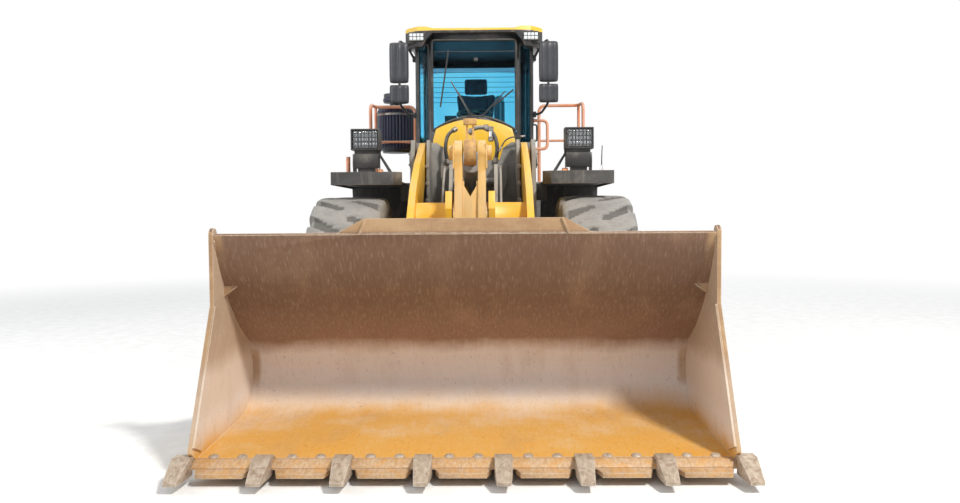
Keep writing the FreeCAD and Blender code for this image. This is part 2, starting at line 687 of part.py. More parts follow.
def lamp_cage():
    """A frame of flat bar with a grid of round wire in front of the lamp's box."""
    low, high = LAMP_X - LAMP_HALF, LAMP_X + LAMP_HALF
    front, back = at(LAMP_FRONT_U), at(LAMP_FRONT_U - 40)
    frame = box(low, high, front, back, LAMP_LOW_Z, LAMP_TOP_Z)
    hole = box(low + CAGE_FRAME, high - CAGE_FRAME, front - 5, back + 5, LAMP_LOW_Z + CAGE_FRAME,
               LAMP_TOP_Z - CAGE_FRAME)
    bars = [frame.cut(hole)]
    for index in range(1, 8):
        x = low + (high - low) * index / 8
        bars.append(box(x - CAGE_BAR / 2, x + CAGE_BAR / 2, front, front + CAGE_BAR, LAMP_LOW_Z, LAMP_TOP_Z))
    for index in range(1, 5):
        z = LAMP_LOW_Z + (LAMP_TOP_Z - LAMP_LOW_Z) * index / 5
        bars.append(box(low, high, front + CAGE_BAR / 2, front + 1.5 * CAGE_BAR, z - CAGE_BAR / 2, z + CAGE_BAR / 2))
    return bars


def headlamps():
    """On each fender a caged lamp on a boxed stand with a round cheek, a diagonal brace and a signal lamp."""
    deck_z = FENDER_Z + FENDER_PLATE + SEAT_GAP
    x, low = LAMP_X, LAMP_LOW_Z
    rear = at(LAMP_REAR_U)
    shapes = lamp_cage() + [
        box(x - LAMP_HALF, x + LAMP_HALF, at(LAMP_FRONT_U - 38), rear, low, LAMP_TOP_Z),
        box(x - 105, x + 105, at(210), rear, low - 40, low + 5),
        box(x - 118, x + 118, at(225), at(215), low - 165, low - 35),
        box(x - 118, x - 106, at(225), at(75), low - 165, low - 35),
        box(x - 118, x + 118, at(225), at(75), low - 45, low - 35),
        box(x - 75, x + 75, at(205), at(90), deck_z, low - 160),
        box(x - 110, x + 110, at(205), at(195), low - 170, low - 155),
    ]
    cheek = plate([(225, low - 35), (75, low - 35), (60, low - 120), (75, deck_z), (200, deck_z), (240, low - 120)],
                  x + 106, x + 118)
    brace = panel([(x - 118, low - 15), (x - 118, low - 55), (x - 255, deck_z), (x - 295, deck_z)], at(130), at(120))
    foot = box(x - 297, x - 225, at(150), at(100), deck_z, deck_z + 8)
    arm = box(x - 130, x - 100, at(150), at(110), low - 60, low)
    signal = [rod((x - 128, at(180), deck_z), (x - 128, at(180), deck_z + 110), 28)]
    signal.append(box(x - 140, x - 60, at(190), at(165), deck_z, deck_z + 14))
    save("headlamps", pair(fused(shapes + [cheek, brace, foot, arm] + signal)))


def lift_arms():
    profile = [
        (-250, 2245), (350, 2020), (780, 1790), (1050, 1550), (1330, 1200), (1570, 850), (1800, 475),
        (1630, 260), (1330, 600), (1080, 920), (760, 1180), (330, 1430), (-230, 1950),
    ]
    bone = fused([
        plate(profile, ARM_INNER, ARM_OUTER),
        cross_rod(ARM_INNER, ARM_OUTER, ARM_PIVOT, ARM_PIVOT_RADIUS),
        cross_rod(ARM_INNER - 10, ARM_OUTER + 25, ARM_PIVOT, ARM_BOSS_RADIUS),
        cross_rod(ARM_INNER, ARM_OUTER, BUCKET_HINGE, ARM_END_RADIUS),
    ])
    lug_outer = LIFT_X - EYE_HALF - 7
    lug_inner = lug_outer - LIFT_LUG_PLATE
    eye_plate = plate([(600, 1560), (860, 1420), (600, 1230), (430, 1240), (400, 1390)], lug_inner, lug_outer)
    u, z = CROSS_TUBE
    half_u, half_z = CROSS_BOX
    pieces = pair(bone) + pair(eye_plate)
    cross = [(u - half_u, z - half_z), (u + half_u, z - half_z), (u + half_u, z + half_z - CROSS_CUT[1]),
             (u + half_u - CROSS_CUT[0], z + half_z), (u - half_u, z + half_z)]
    pieces.append(plate(cross, -ARM_OUTER + 5, ARM_OUTER - 5))
    pieces += pair(cross_rod(lug_inner + 1, ARM_OUTER - 5, LIFT_EYE, 30).cut(
        pin_eye(LIFT_EYE, CYLINDER_PIN_RADIUS, EYE_HALF + 4, LIFT_X)))
    bracket = plate([(700, 1600), (900, 1730), (1080, 1745), (1150, 1600), (1100, 1430), (820, 1380)],
                    CRANK_BRACKET_X, CRANK_BRACKET_X + CRANK_BRACKET)
    arms = fused(pieces + pair(bracket))
    holes = [
        cross_rod(-700, 700, ARM_PIVOT, ARM_PIN_RADIUS + RUNNING_FIT),
        cross_rod(-700, 700, BUCKET_HINGE, HINGE_PIN_RADIUS + RUNNING_FIT),
        cross_rod(-300, 300, CRANK_PIVOT, CRANK_PIN_RADIUS + RUNNING_FIT),
    ]
    save("lift_arms", [drilled(arms, holes)])


def bellcrank():
    """Two cheeks joined by a web that stops below a five-sided opening under the rod's eye."""
    pin_half = CRANK_BRACKET_X + CRANK_BRACKET
    save("bellcrank_pin", [cross_rod(-pin_half, pin_half, CRANK_PIVOT, CRANK_PIN_RADIUS)])
    profile = [
        (870, 2110), (1050, 2110), (1055, 1900), (1135, 1600), (1175, 1300), (1185, 575),
        (1040, 555), (950, 1250), (905, 1540), (885, 1820),
    ]
    cheek = fused([
        plate(profile, CRANK_INNER, CRANK_OUTER),
        cross_rod(CRANK_INNER, CRANK_OUTER, CRANK_TOP, CRANK_HEAD_RADIUS),
        cross_rod(CRANK_INNER, CRANK_OUTER, CRANK_FOOT, CRANK_FOOT_RADIUS),
        cross_rod(CRANK_INNER, CRANK_OUTER + 12, CRANK_PIVOT, CRANK_BOSS_RADIUS),
        cross_rod(CRANK_OUTER - 5, CRANK_OUTER + 50, CRANK_TOP, 60),
        plate([(1010, 2140), (1060, 2140), (1060, 1930), (1010, 1930)], CRANK_OUTER - 2, CRANK_OUTER + 14),
    ])
    web = plate([(930, 1830), (1060, 1830), (1110, 1560), (1150, 1250), (1120, 850), (1010, 1250)],
                -CRANK_INNER - 1, CRANK_INNER + 1)
    notch = panel([(-52, 1900), (52, 1900), (52, 1790), (0, 1700), (-52, 1790)], at(700), at(1300))
    crank = fused(pair(cheek) + [web.cut(notch)])
    holes = [
        cross_rod(-300, 300, CRANK_PIVOT, CRANK_PIN_RADIUS + RUNNING_FIT),
        cross_rod(-300, 300, CRANK_FOOT, LINK_PIN_RADIUS + RUNNING_FIT),
    ]
    save("bellcrank", [drilled(crank, holes)])


def tilt_link():
    save("link_pin", [cross_rod(-CRANK_OUTER, CRANK_OUTER, CRANK_FOOT, LINK_PIN_RADIUS)])
    half, rise = LINK_BAR
    bar = [(CRANK_FOOT[0], CRANK_FOOT[1] + rise), (LINK_EYE[0], LINK_EYE[1] + rise),
           (LINK_EYE[0], LINK_EYE[1] - rise), (CRANK_FOOT[0], CRANK_FOOT[1] - rise)]
    link = fused([
        pin_eye(CRANK_FOOT, CRANK_FOOT_RADIUS, LINK_HALF),
        pin_eye(LINK_EYE, LINK_EYE_RADIUS, LINK_HALF),
        plate(bar, -half, half),
    ])
    save("tilt_link", [drilled(link, [pin_eye(CRANK_FOOT, LINK_PIN_RADIUS + RUNNING_FIT, 100)])])


def bucket_line(count=8):
    line = [FLOOR_FRONT]
    line += arc_points(FLOOR_BACK, HEEL, BACK_LOW, count)
    line += arc_points(BACK_LOW, BACK_MID, LIP, count)[1:]
    return line


def offset_line(line, gap):
    """Moves each point of a side profile outwards, away from the bucket's mouth."""
    moved = []
    for index, (u, z) in enumerate(line):
        before = line[max(index - 1, 0)]
        after = line[min(index + 1, len(line) - 1)]
        along_u, along_z = after[0] - before[0], after[1] - before[1]
        length = math.hypot(along_u, along_z)
        moved.append((u - gap * along_z / length, z + gap * along_u / length))
    return moved


def spill_guard():
    """A plate over the lip, with a thin wing each side and a rib along each slanted edge."""
    low, high = LIP[1] - 20, LIP[1] + SPILL_RISE
    front, back = at(LIP[0] - 2), at(LIP[0] - 2 - SPILL_PLATE)
    guard = panel([(-SPILL_FOOT, low), (-SPILL_HALF, high), (SPILL_HALF, high), (SPILL_FOOT, low)], front, back)
    wing = panel([(SPILL_FOOT - 5, low), (SPILL_HALF - 5, high), (SPILL_HALF + 5, high), (SPILL_WING, low)],
                 front + 10, back)
    rib = panel([(SPILL_FOOT - 12, low), (SPILL_HALF - 12, high), (SPILL_HALF, high), (SPILL_FOOT, low)],
                front - 14, back)
    return [guard] + pair(wing) + pair(rib)


def bucket():
    inner = bucket_line()
    outer = offset_line(inner, BUCKET_WALL)
    wrapper = plate(inner + outer[::-1], -BUCKET_HALF, BUCKET_HALF)
    cheek_profile = outer + [LIP, CHEEK_STEP, CHEEK_FOOT]
    side_inner = BUCKET_HALF - BUCKET_WALL
    cheek = plate(cheek_profile, side_inner, BUCKET_HALF)
    ear = cross_rod(side_inner, BUCKET_HALF, (LIP[0] - CHEEK_EAR, LIP[1]), CHEEK_EAR)
    nose = side_inner - GUSSET_REACH
    gusset = panel([(side_inner + 2, GUSSET_ROOT[0]), (side_inner + 2, GUSSET_ROOT[1]), (nose, GUSSET_NOSE[1]),
                    (nose, GUSSET_NOSE[0])], at(GUSSET_FRONT), at(LIP[0] - 400))
    behind = plate(inner + [(3400, LIP[1]), (3400, FLOOR_FRONT[1])], -BUCKET_HALF, BUCKET_HALF)
    gusset = gusset.common(behind)
    pieces = [wrapper] + pair(cheek) + pair(ear) + spill_guard()
    hinge_u, hinge_z = BUCKET_HINGE
    lug_profile = [(hinge_u - 95, hinge_z + 75), (2060, 725), (2010, 645), (1905, 460), (2060, 250), (2150, 160),
                   (hinge_u - 40, hinge_z - 105)]
    inner_lug = ARM_INNER - PLATE_GAP - EAR_PLATE
    outer_lug = ARM_OUTER + PLATE_GAP
    for x in (inner_lug, outer_lug):
        lug = plate(lug_profile, x, x + EAR_PLATE).fuse(cross_rod(x, x + EAR_PLATE, BUCKET_HINGE, EAR_BOSS_RADIUS))
        pieces += pair(lug)
    link_u, link_z = LINK_EYE
    fork = [(link_u - 50, link_z + 80), (2250, 900), (2060, 720), (1940, 560), (link_u, link_z - 95)]
    lug = plate(fork, FORK_HALF, FORK_HALF + 40)
    pieces += pair(lug.fuse(cross_rod(FORK_HALF, FORK_HALF + 60, LINK_EYE, FORK_BOSS_RADIUS)))
    hollow = plate(inner + [(3400, LIP[1]), (3400, FLOOR_FRONT[1])], -side_inner, side_inner)
    shell = fused(pieces).cut(hollow)
    shell = fused([shell] + pair(gusset))
    shell = drilled(shell, [cross_rod(-700, 700, BUCKET_HINGE, HINGE_PIN_RADIUS + RUNNING_FIT)])
    save("bucket_shell", [shell])
    inner_end, outer_end = inner_lug - PLATE_GAP - PIN_FLANGE, outer_lug + EAR_PLATE + PLATE_GAP + PIN_FLANGE
    pin = fused([
        cross_rod(inner_end, outer_end, BUCKET_HINGE, HINGE_PIN_RADIUS),
        cross_rod(inner_end, inner_end + PIN_FLANGE, BUCKET_HINGE, PIN_FLANGE_RADIUS),
        cross_rod(outer_end - PIN_FLANGE, outer_end, BUCKET_HINGE, PIN_FLANGE_RADIUS),
    ])
    save("hinge_pins", pair(pin))
    return shell


def base_edge():
    """A stepped bar under the floor's front, with the bolt-on segments below it between the teeth."""
    top = FLOOR_FRONT[1]
    seat = top - BUCKET_WALL
    low = BASE_EDGE_LOW
    start = FLOOR_FRONT[0] + SEAT_GAP
    bar = plate([(BASE_EDGE_BACK, seat), (start, seat), (start, top), (BASE_EDGE_FRONT - 45, top),
                 (BASE_EDGE_FRONT, low + 14), (BASE_EDGE_FRONT, low), (BASE_EDGE_BACK, low)],
                -BUCKET_HALF, BUCKET_HALF)
    pieces = [bar]
    for index in range(SEGMENT_COUNT):
        x = (index - (SEGMENT_COUNT - 1) / 2) * TOOTH_PITCH
        plan = [(x - SEGMENT_BACK_HALF, at(SEGMENT_BACK)), (x - SEGMENT_BACK_HALF, at(SEGMENT_FRONT - 90)),
                (x - SEGMENT_FRONT_HALF, at(SEGMENT_FRONT)), (x + SEGMENT_FRONT_HALF, at(SEGMENT_FRONT)),
                (x + SEGMENT_BACK_HALF, at(SEGMENT_FRONT - 90)), (x + SEGMENT_BACK_HALF, at(SEGMENT_BACK))]
        pieces.append(slab(plan, low - SEGMENT_THICK, low + 1))
    return fused(pieces)


def bucket_edge(shell):
    edge = base_edge()
    top = FLOOR_FRONT[1]
    teeth = []
    for index in range(TOOTH_COUNT):
        x = (index - (TOOTH_COUNT - 1) / 2) * TOOTH_PITCH
        tooth = plate([(TOOTH_BACK, top), (TOOTH_BACK + 50, top + TOOTH_RISE), (TOOTH_BACK + 130, top + TOOTH_RISE),
                       (TOOTH_TIP, TOOTH_LOW + 24), (TOOTH_TIP, TOOTH_LOW + 2), (TOOTH_BACK + 90, TOOTH_LOW),
                       (TOOTH_BACK + 90, top)],
                      x - TOOTH_WIDTH / 2, x + TOOTH_WIDTH / 2)
        half = TOOTH_WIDTH / 2
        taper = slab([(x - half, at(TOOTH_BACK)), (x - half, at(TOOTH_BACK + 150)),
                      (x - TOOTH_TIP_HALF, at(TOOTH_TIP)), (x + TOOTH_TIP_HALF, at(TOOTH_TIP)),
                      (x + half, at(TOOTH_BACK + 150)), (x + half, at(TOOTH_BACK))], 0, 300)
        teeth.append(tooth.common(taper).cut(edge).cut(shell))
    save("cutting_edge", [edge.cut(shell)])
    save("bucket_teeth", teeth)


def rear_frame():
    front = FRAME_FRONT_Y
    beam_y = PIVOT_Y + STEER_BASE[1] + 62
    profile = [(front, FRAME_LOW_Z), (front, CAB_BEAM_Z), (HOOD_FRONT_Y, RAIL_TOP_Z), (HOOD_REAR_Y, RAIL_TOP_Z),
               (HOOD_REAR_Y, REAR_SADDLE_Z), (REAR_AXLE_Y - 300, REAR_SADDLE_Z), (REAR_AXLE_Y - 560, FRAME_LOW_Z)]
    rail = prism([V(FRAME_HALF, y, z) for y, z in profile], V(FRAME_PLATE, 0, 0))
    bulkhead = drilled(box(-FRAME_REACH, FRAME_REACH, front, front + 35, FRAME_LOW_Z, CAB_BEAM_Z), [
        box(-FRAME_HALF, FRAME_HALF, front - 30, front + 70, STEER_Z - 90, STEER_Z + 115),
        box(-150, 150, front - 30, front + 70, AXLE_Z - 102, 900),
    ])
    beam = box(-FRAME_REACH, FRAME_REACH, beam_y, beam_y + 35, STEER_Z - 110, STEER_Z + 120)
    pieces = pair(rail) + [
        bulkhead,
        beam.cut(box(-110, 110, beam_y - 10, beam_y + 50, AXLE_Z - 2, 940)),
        box(-FRAME_REACH, FRAME_REACH, REAR_AXLE_Y - 330, REAR_AXLE_Y + 330, REAR_SADDLE_Z + 25, REAR_SADDLE_Z + 70),
        box(-FRAME_REACH, FRAME_REACH, HOOD_REAR_Y - 180, HOOD_REAR_Y - 100, 1100, RAIL_TOP_Z - 8),
        box(-CAB_HALF + 60, CAB_HALF - 60, PIVOT_Y + 200, CAB_REAR_Y - 60, CAB_BEAM_Z, CAB_BEAM_Z + 40),
    ]
    for z in (UPPER_LUG_Z, LOWER_LUG_Z):
        for low in (z - LUG_GAP - FORK_PLATE, z + LUG_THICK + LUG_GAP):
            fork = slab([(-330, PIVOT_Y + FORK_REACH), (-120, PIVOT_Y), (120, PIVOT_Y), (330, PIVOT_Y + FORK_REACH)],
                        low, low + FORK_PLATE)
            pieces.append(fork.fuse(rod((0, PIVOT_Y, low), (0, PIVOT_Y, low + FORK_PLATE), LUG_RADIUS)))
        pieces.append(rod((0, PIVOT_Y, z - 60), (0, PIVOT_Y, z + LUG_THICK + 60), KINGPIN_RADIUS))
    y = PIVOT_Y + STEER_BASE[1]
    for side in (-1, 1):
        x = side * STEER_BASE[0]
        pieces.append(upright((x, y, STEER_Z), STEER_EYE_HALF + 2 * PLATE_GAP, STEER_PIN_RADIUS))
        for low in (STEER_Z - STEER_EYE_HALF - 2 - STEER_LUG_PLATE, STEER_Z + STEER_EYE_HALF + 2):
            pieces.append(box(x - 55, x + 55, y - 50, beam_y + 5, low, low + STEER_LUG_PLATE))
    for x, y in cab_feet():
        pieces.append(box(x - 45, x + 45, y - 45, y + 45, CAB_BEAM_Z + 20, CAB_FLOOR_Z - 60 - SEAT_GAP))
    save("rear_frame", [fused(pieces)])


def drivetrain():
    engine = box(-330, 330, REAR_AXLE_Y + 90, REAR_AXLE_Y + 1240, REAR_SADDLE_Z + 70 + SEAT_GAP, 2150)
    gear_front = PIVOT_Y + 815
    gear_rear = REAR_AXLE_Y - PINION_REACH - 180
    gearbox = box(-300, 300, gear_front, gear_rear, 700, CAB_BEAM_Z - 20)
    front_shaft = rod((0, PIVOT_Y + SHAFT_GAP, AXLE_Z), (0, gear_front + 5, AXLE_Z), SHAFT_RADIUS)
    rear_shaft = rod((0, gear_rear - 5, AXLE_Z), (0, REAR_AXLE_Y - PINION_REACH - SEAT_GAP, AXLE_Z), SHAFT_RADIUS)
    save("drivetrain", [engine, fused([gearbox, front_shaft, rear_shaft])])


def hood_block(inset):
    """The hood's outer form, with every face moved in by the inset."""
    half = HOOD_HALF - inset
    low, top = HOOD_BOTTOM_Z, HOOD_TOP_Z - inset
    front, rear = HOOD_FRONT_Y + inset, HOOD_REAR_Y - inset
    rear_top = HOOD_REAR_TOP_Z - inset
    side = [(front, low), (front, top), (rear - 300 + inset / 2, rear_top), (rear, rear_top - 220 + inset / 2),
            (rear, low)]
    block = prism([V(-half, y, z) for y, z in side], V(2 * half, 0, 0))
    cut = HOOD_CHAMFER
    section = [(-half, low), (-half, top - cut), (-half + cut, top), (half - cut, top), (half, top - cut), (half, low)]
    block = block.common(panel(section, front, rear))
    shoulder = [(-half, rear_top - 220), (-half + cut, rear_top - 40), (half - cut, rear_top - 40),
                (half, rear_top - 220), (half, low), (-half, low)]
    tail = panel(shoulder, rear - 460, rear + 5)
    return block.cut(box(-half - 5, half + 5, rear - 460, rear + 5, low - 5, top + 5)).fuse(
        block.common(tail)).removeSplitter()


def hood():
    """A hollow shell with louvre slots in both sides, in the rear grille and under the rear slope."""
    shell = hood_block(0).cut(hood_block(HOOD_WALL))
    slots = []
    for start, low, high in ((HOOD_FRONT_Y + 160, 1960, 2300), (REAR_AXLE_Y + 520, 1760, 2200)):
        for index in range(GRILLE_SIDE_COUNT):
            y = start + index * GRILLE_PITCH
            slots.append(box(-HOOD_HALF - 20, -HOOD_HALF + 20, y, y + GRILLE_SLOT, low, high))
            slots.append(box(HOOD_HALF - 20, HOOD_HALF + 20, y, y + GRILLE_SLOT, low, high))
    for index in range(GRILLE_REAR_COUNT):
        z = WEIGHT_TOP_Z + 40 + index * GRILLE_PITCH * 0.9
        slots.append(box(-430, 430, HOOD_REAR_Y - 20, HOOD_REAR_Y + 20, z, z + GRILLE_SLOT))
    save("hood", [shell.cut(Part.makeCompound(slots))])


def counterweight():
    """A cast block round the hood's tail, with cut corners, a tow throat and a lamp box each side."""
    seat_y = HOOD_REAR_Y + SEAT_GAP
    seat_x = HOOD_HALF + 20
    corner_x, corner_y = WEIGHT_HALF - WEIGHT_CORNER, REAR_END_Y - 160
    plan = [(-WEIGHT_HALF, WEIGHT_FRONT_Y), (-WEIGHT_HALF, corner_y), (-corner_x, REAR_END_Y),
            (corner_x, REAR_END_Y), (WEIGHT_HALF, corner_y), (WEIGHT_HALF, WEIGHT_FRONT_Y),
            (seat_x, WEIGHT_FRONT_Y), (seat_x, seat_y), (-seat_x, seat_y), (-seat_x, WEIGHT_FRONT_Y)]
    upper = slab(plan, WEIGHT_LOW_Z, WEIGHT_TOP_Z)
    lower = slab([(-corner_x, seat_y), (-corner_x, corner_y), (corner_x, corner_y), (corner_x, seat_y)],
                 WEIGHT_LOW_Z - 100, WEIGHT_LOW_Z + 5)
    trims = []
    for side in (-1, 1):
        trims.append(panel([(side * WEIGHT_HALF, WEIGHT_TOP_Z - 120), (side * (WEIGHT_HALF - 90), WEIGHT_TOP_Z),
                            (side * (WEIGHT_HALF + 20), WEIGHT_TOP_Z + 10)], WEIGHT_FRONT_Y - 10, REAR_END_Y + 10))
        trims.append(panel([(side * WEIGHT_HALF, WEIGHT_LOW_Z + 160), (side * (WEIGHT_HALF - 160), WEIGHT_LOW_Z),
                            (side * (WEIGHT_HALF + 20), WEIGHT_LOW_Z - 10)], WEIGHT_FRONT_Y - 10, REAR_END_Y + 10))
    block = drilled(fused([upper, lower]), trims)
    lamps = [box(side * 700, side * 860, REAR_END_Y - 30, REAR_END_Y, WEIGHT_TOP_Z - 5, WEIGHT_TOP_Z + 95)
             for side in (-1, 1)]
    lamps += [box(side * 690, side * 870, REAR_END_Y - 110, REAR_END_Y - 25, WEIGHT_TOP_Z - 5, WEIGHT_TOP_Z + 105)
              for side in (-1, 1)]
    throat = box(-110, 110, REAR_END_Y - 160, REAR_END_Y + 10, 960, 1060)
    pin_bore = rod((0, TOW_PIN_Y, 880), (0, TOW_PIN_Y, 1150), TOW_PIN_RADIUS)
    save("counterweight", [drilled(fused([block] + lamps), [throat, pin_bore])])


def rear_fenders():
    """A bent plate over each rear tyre, a stay to the hood's side and a rubber flap at the back."""
    inner_x, outer_x = REAR_FENDER_INNER, REAR_FENDER_OUTER
    radius = FENDER_RADIUS
    shell = rod((inner_x, REAR_AXLE_Y, AXLE_Z), (outer_x, REAR_AXLE_Y, AXLE_Z), radius)
    shell = shell.cut(rod((inner_x - 5, REAR_AXLE_Y, AXLE_Z), (outer_x + 5, REAR_AXLE_Y, AXLE_Z), radius - 14))
    window = box(inner_x - 10, outer_x + 10, REAR_AXLE_Y - 500, REAR_AXLE_Y + 1100, 1300, 2000)
    skirt = rod((outer_x - 14, REAR_AXLE_Y, AXLE_Z), (outer_x, REAR_AXLE_Y, AXLE_Z), radius)
    skirt = skirt.cut(rod((outer_x - 20, REAR_AXLE_Y, AXLE_Z), (outer_x + 5, REAR_AXLE_Y, AXLE_Z), radius - 70))
    wall = box(HOOD_HALF + SEAT_GAP, inner_x + 2, REAR_AXLE_Y - 480, REAR_AXLE_Y + 700, 1600, 1760)
    save("rear_fenders", pair(fused([shell.common(window), skirt.common(window), wall])))


def platforms():
    """Each side: a deck with a kick plate, a tank under it and a ladder with four treads between two stiles."""
    low, top = DECK_Z, DECK_Z + DECK_PLATE
    deck = box(CAB_HALF + 35, DECK_HALF, DECK_FRONT_Y, DECK_REAR_Y, low, top)
    kick = box(DECK_HALF - 12, DECK_HALF, DECK_FRONT_Y + 520, DECK_REAR_Y, low, top + 70)
    tank_x = CAB_HALF + 60
    tank = panel([(tank_x, TANK_LOW_Z), (tank_x, low), (TANK_HALF, low), (TANK_HALF, TANK_LOW_Z + 160),
                  (TANK_HALF - 160, TANK_LOW_Z)], DECK_FRONT_Y + 20, TANK_REAR_Y)
    shapes = [deck, kick, tank]
    ladder_front = DECK_FRONT_Y + 60
    ladder_rear = ladder_front + STEP_RUN
    for index in range(STEP_COUNT):
        z = STEP_LOW_Z + index * STEP_RISE
        inner = DECK_HALF - 280 + 12 * index
        shapes.append(box(inner, DECK_HALF, ladder_front, ladder_rear, z, z + STEP_PLATE))
        shapes.append(box(DECK_HALF - 10, DECK_HALF, ladder_front, ladder_rear, z - 15, z + STEP_PLATE + 15))
    for y in (ladder_front, ladder_rear - 12):
        shapes.append(box(DECK_HALF - 70, DECK_HALF, y, y + 12, STEP_LOW_Z, low))
        shapes.append(box(DECK_HALF - 280, DECK_HALF, y, y + 12, STEP_LOW_Z, STEP_LOW_Z + 60))
        shapes.append(box(TANK_HALF - 10, DECK_HALF, y, y + 12, STEP_LOW_Z + STEP_RISE, STEP_LOW_Z + STEP_RISE + 60))
    shapes.append(box(FRAME_REACH + SEAT_GAP, tank_x + 20, DECK_FRONT_Y + 270, DECK_FRONT_Y + 370, 1200, 1300))
    save("platforms", pair(fused(shapes)))


def cab_plan(inset, z0, z1):
    half = CAB_HALF - inset
    front = CAB_FRONT_Y + inset
    corner = CAB_CORNER_Y + inset * 0.6
    rear = CAB_REAR_Y - inset
    left, right = V(-half, corner, z0), V(half, corner, z0)
    edges = [
        Part.Arc(left, V(0, front, z0), right).toShape(),
        Part.LineSegment(right, V(half, rear, z0)).toShape(),
        Part.LineSegment(V(half, rear, z0), V(-half, rear, z0)).toShape(),
        Part.LineSegment(V(-half, rear, z0), left).toShape(),
    ]
    return Part.Face(Part.Wire(edges)).extrude(V(0, 0, z1 - z0))


def cab_feet():
    return [(x, y) for x in (-500, 500) for y in (PIVOT_Y + 240, CAB_REAR_Y - 120)]


def screen_outline():
    """The windscreen seen from ahead: an arched foot over the cowl and a level head."""
    foot = arc_points((-SCREEN_HALF, SCREEN_SIDE_Z), (0, SCREEN_MIDDLE_Z), (SCREEN_HALF, SCREEN_SIDE_Z), 10)
    return foot + [(SCREEN_HALF, CAB_RAIL_Z), (-SCREEN_HALF, CAB_RAIL_Z)]


def cab_windows():
    """Window openings: front, two front corners, right side, two rear sides, back."""
    low, high = CAB_SILL_Z, CAB_SIDE_RAIL_Z
    near, far = CORNER_GLASS
    wall = CAB_HALF - 2.6 * CAB_WALL
    corner = box(near, far, CAB_FRONT_Y, CAB_CORNER_Y + 70, low, CAB_RAIL_Z - 60)
    quarter = box(wall, CAB_HALF + 50, DOOR_REAR_Y + 70, CAB_REAR_Y - 80, low + 150, high)
    return [
        panel(screen_outline(), CAB_FRONT_Y - 60, CAB_CORNER_Y + 120),
        corner,
        mirrored(corner),
        box(-CAB_HALF - 50, -wall, DOOR_FRONT_Y, DOOR_REAR_Y, low, high),
        mirrored(quarter),
        quarter,
        box(-CAB_HALF + 90, CAB_HALF - 90, CAB_REAR_Y - 120, CAB_REAR_Y + 50, low + 200, CAB_RAIL_Z - 10),
    ]


def cab_knuckles():
    """Each hinge: a pin held above and below by a knuckle on the pillar."""
    x, y = DOOR_HINGE
    pieces = []
    for z in DOOR_HINGE_Z:
        for low in (z - KNUCKLE_HALF - KNUCKLE_GAP - 40, z + KNUCKLE_HALF + KNUCKLE_GAP):
            pieces.append(rod((x, y, low), (x, y, low + 40), KNUCKLE_RADIUS))
            pieces.append(box(CAB_HALF - 5, x, y + 6, y + KNUCKLE_RADIUS + 14, low, low + 40))
        pieces.append(upright((x, y, z), KNUCKLE_HALF + 30, DOOR_PIN_RADIUS))
    return pieces


def cab():
    shell = cab_plan(0, CAB_FLOOR_Z, CAB_TOP_Z).cut(cab_plan(CAB_WALL, CAB_FLOOR_Z + CAB_FLOOR_PLATE, CAB_TOP_Z + 10))
    doorway = box(CAB_HALF - 150, CAB_HALF + 60, DOOR_FRONT_Y, DOOR_REAR_Y, DOOR_SILL_Z, DOOR_HEAD_Z)
    body = drilled(shell, cab_windows() + [doorway])
    feet = [rod((x, y, CAB_FLOOR_Z - 60), (x, y, CAB_FLOOR_Z + 10), 60) for x, y in cab_feet()]
    save("cab_body", [fused([body] + feet + cab_knuckles())])
    middle = cab_plan(CAB_WALL / 2, CAB_SILL_Z, CAB_RAIL_Z).cut(
        cab_plan(CAB_WALL / 2 + GLASS, CAB_SILL_Z - 10, CAB_RAIL_Z + 10))
    save("cab_glass", [middle.common(window) for window in cab_windows()])


def cab_roof():
    """A thin cap that dips in the middle, with a lamp pod hanging at each front corner."""
    low, high = CAB_TOP_Z + SEAT_GAP, ROOF_TOP_Z
    half = ROOF_HALF
    section = [(-half, low), (-half, high - 12), (-half + 30, high), (-POD_INNER - 80, high),
               (-POD_INNER, high - ROOF_DIP), (POD_INNER, high - ROOF_DIP), (POD_INNER + 80, high),
               (half - 30, high), (half, high - 12), (half, low)]
    front, rear = CAB_FRONT_Y - ROOF_OVERHANG, CAB_REAR_Y + 40
    plan = slab([(-half, CAB_CORNER_Y - 110), (-600, front + 20), (-POD_INNER, front), (POD_INNER, front),
                 (600, front + 20), (half, CAB_CORNER_Y - 110), (half, rear - 60), (half - 60, rear),
                 (-half + 60, rear), (-half, rear - 60)], low, high)
    cap = panel(section, front, rear).common(plan)
    pod = panel([(POD_INNER, low + 5), (half, low + 5), (half, POD_LOW_Z + 40), (half - 30, POD_LOW_Z),
                 (POD_INNER + 110, POD_LOW_Z), (POD_INNER + 70, POD_LOW_Z + 80)], front, CAB_CORNER_Y + 30)
    pod = pod.common(slab([(POD_INNER, front), (600, front + 20), (half, CAB_CORNER_Y - 110),
                           (half, CAB_CORNER_Y + 30), (POD_INNER, CAB_CORNER_Y + 30)], POD_LOW_Z, low + 5))
    pod = pod.cut(cab_plan(-SEAT_GAP, CAB_FLOOR_Z, low))
    x, z = POD_LAMP
    half_x, half_z = POD_LAMP_HALF
    lamp = box(x - half_x, x + half_x, front + 8, front + 60, z - half_z, z + half_z)
    save("cab_roof", [fused([cap] + pair(pod) + pair(lamp))])


def cowl():
    """A round-shouldered cover against the cab's front, below the windscreen."""
    x, z = COWL_SHOULDER
    top = arc_points((x, z), (0, COWL_TOP_Z), (-x, z), 12)
    outline = [(-COWL_HALF, COWL_LOW_Z), (COWL_HALF, COWL_LOW_Z), (COWL_HALF, COWL_SIDE_Z)] + top
    outline.append((-COWL_HALF, COWL_SIDE_Z))
    cover = panel(outline, CAB_FRONT_Y - COWL_REACH, CAB_CORNER_Y)
    save("cowl", [cover.cut(cab_plan(-SEAT_GAP, COWL_LOW_Z - 10, COWL_TOP_Z + 10))])


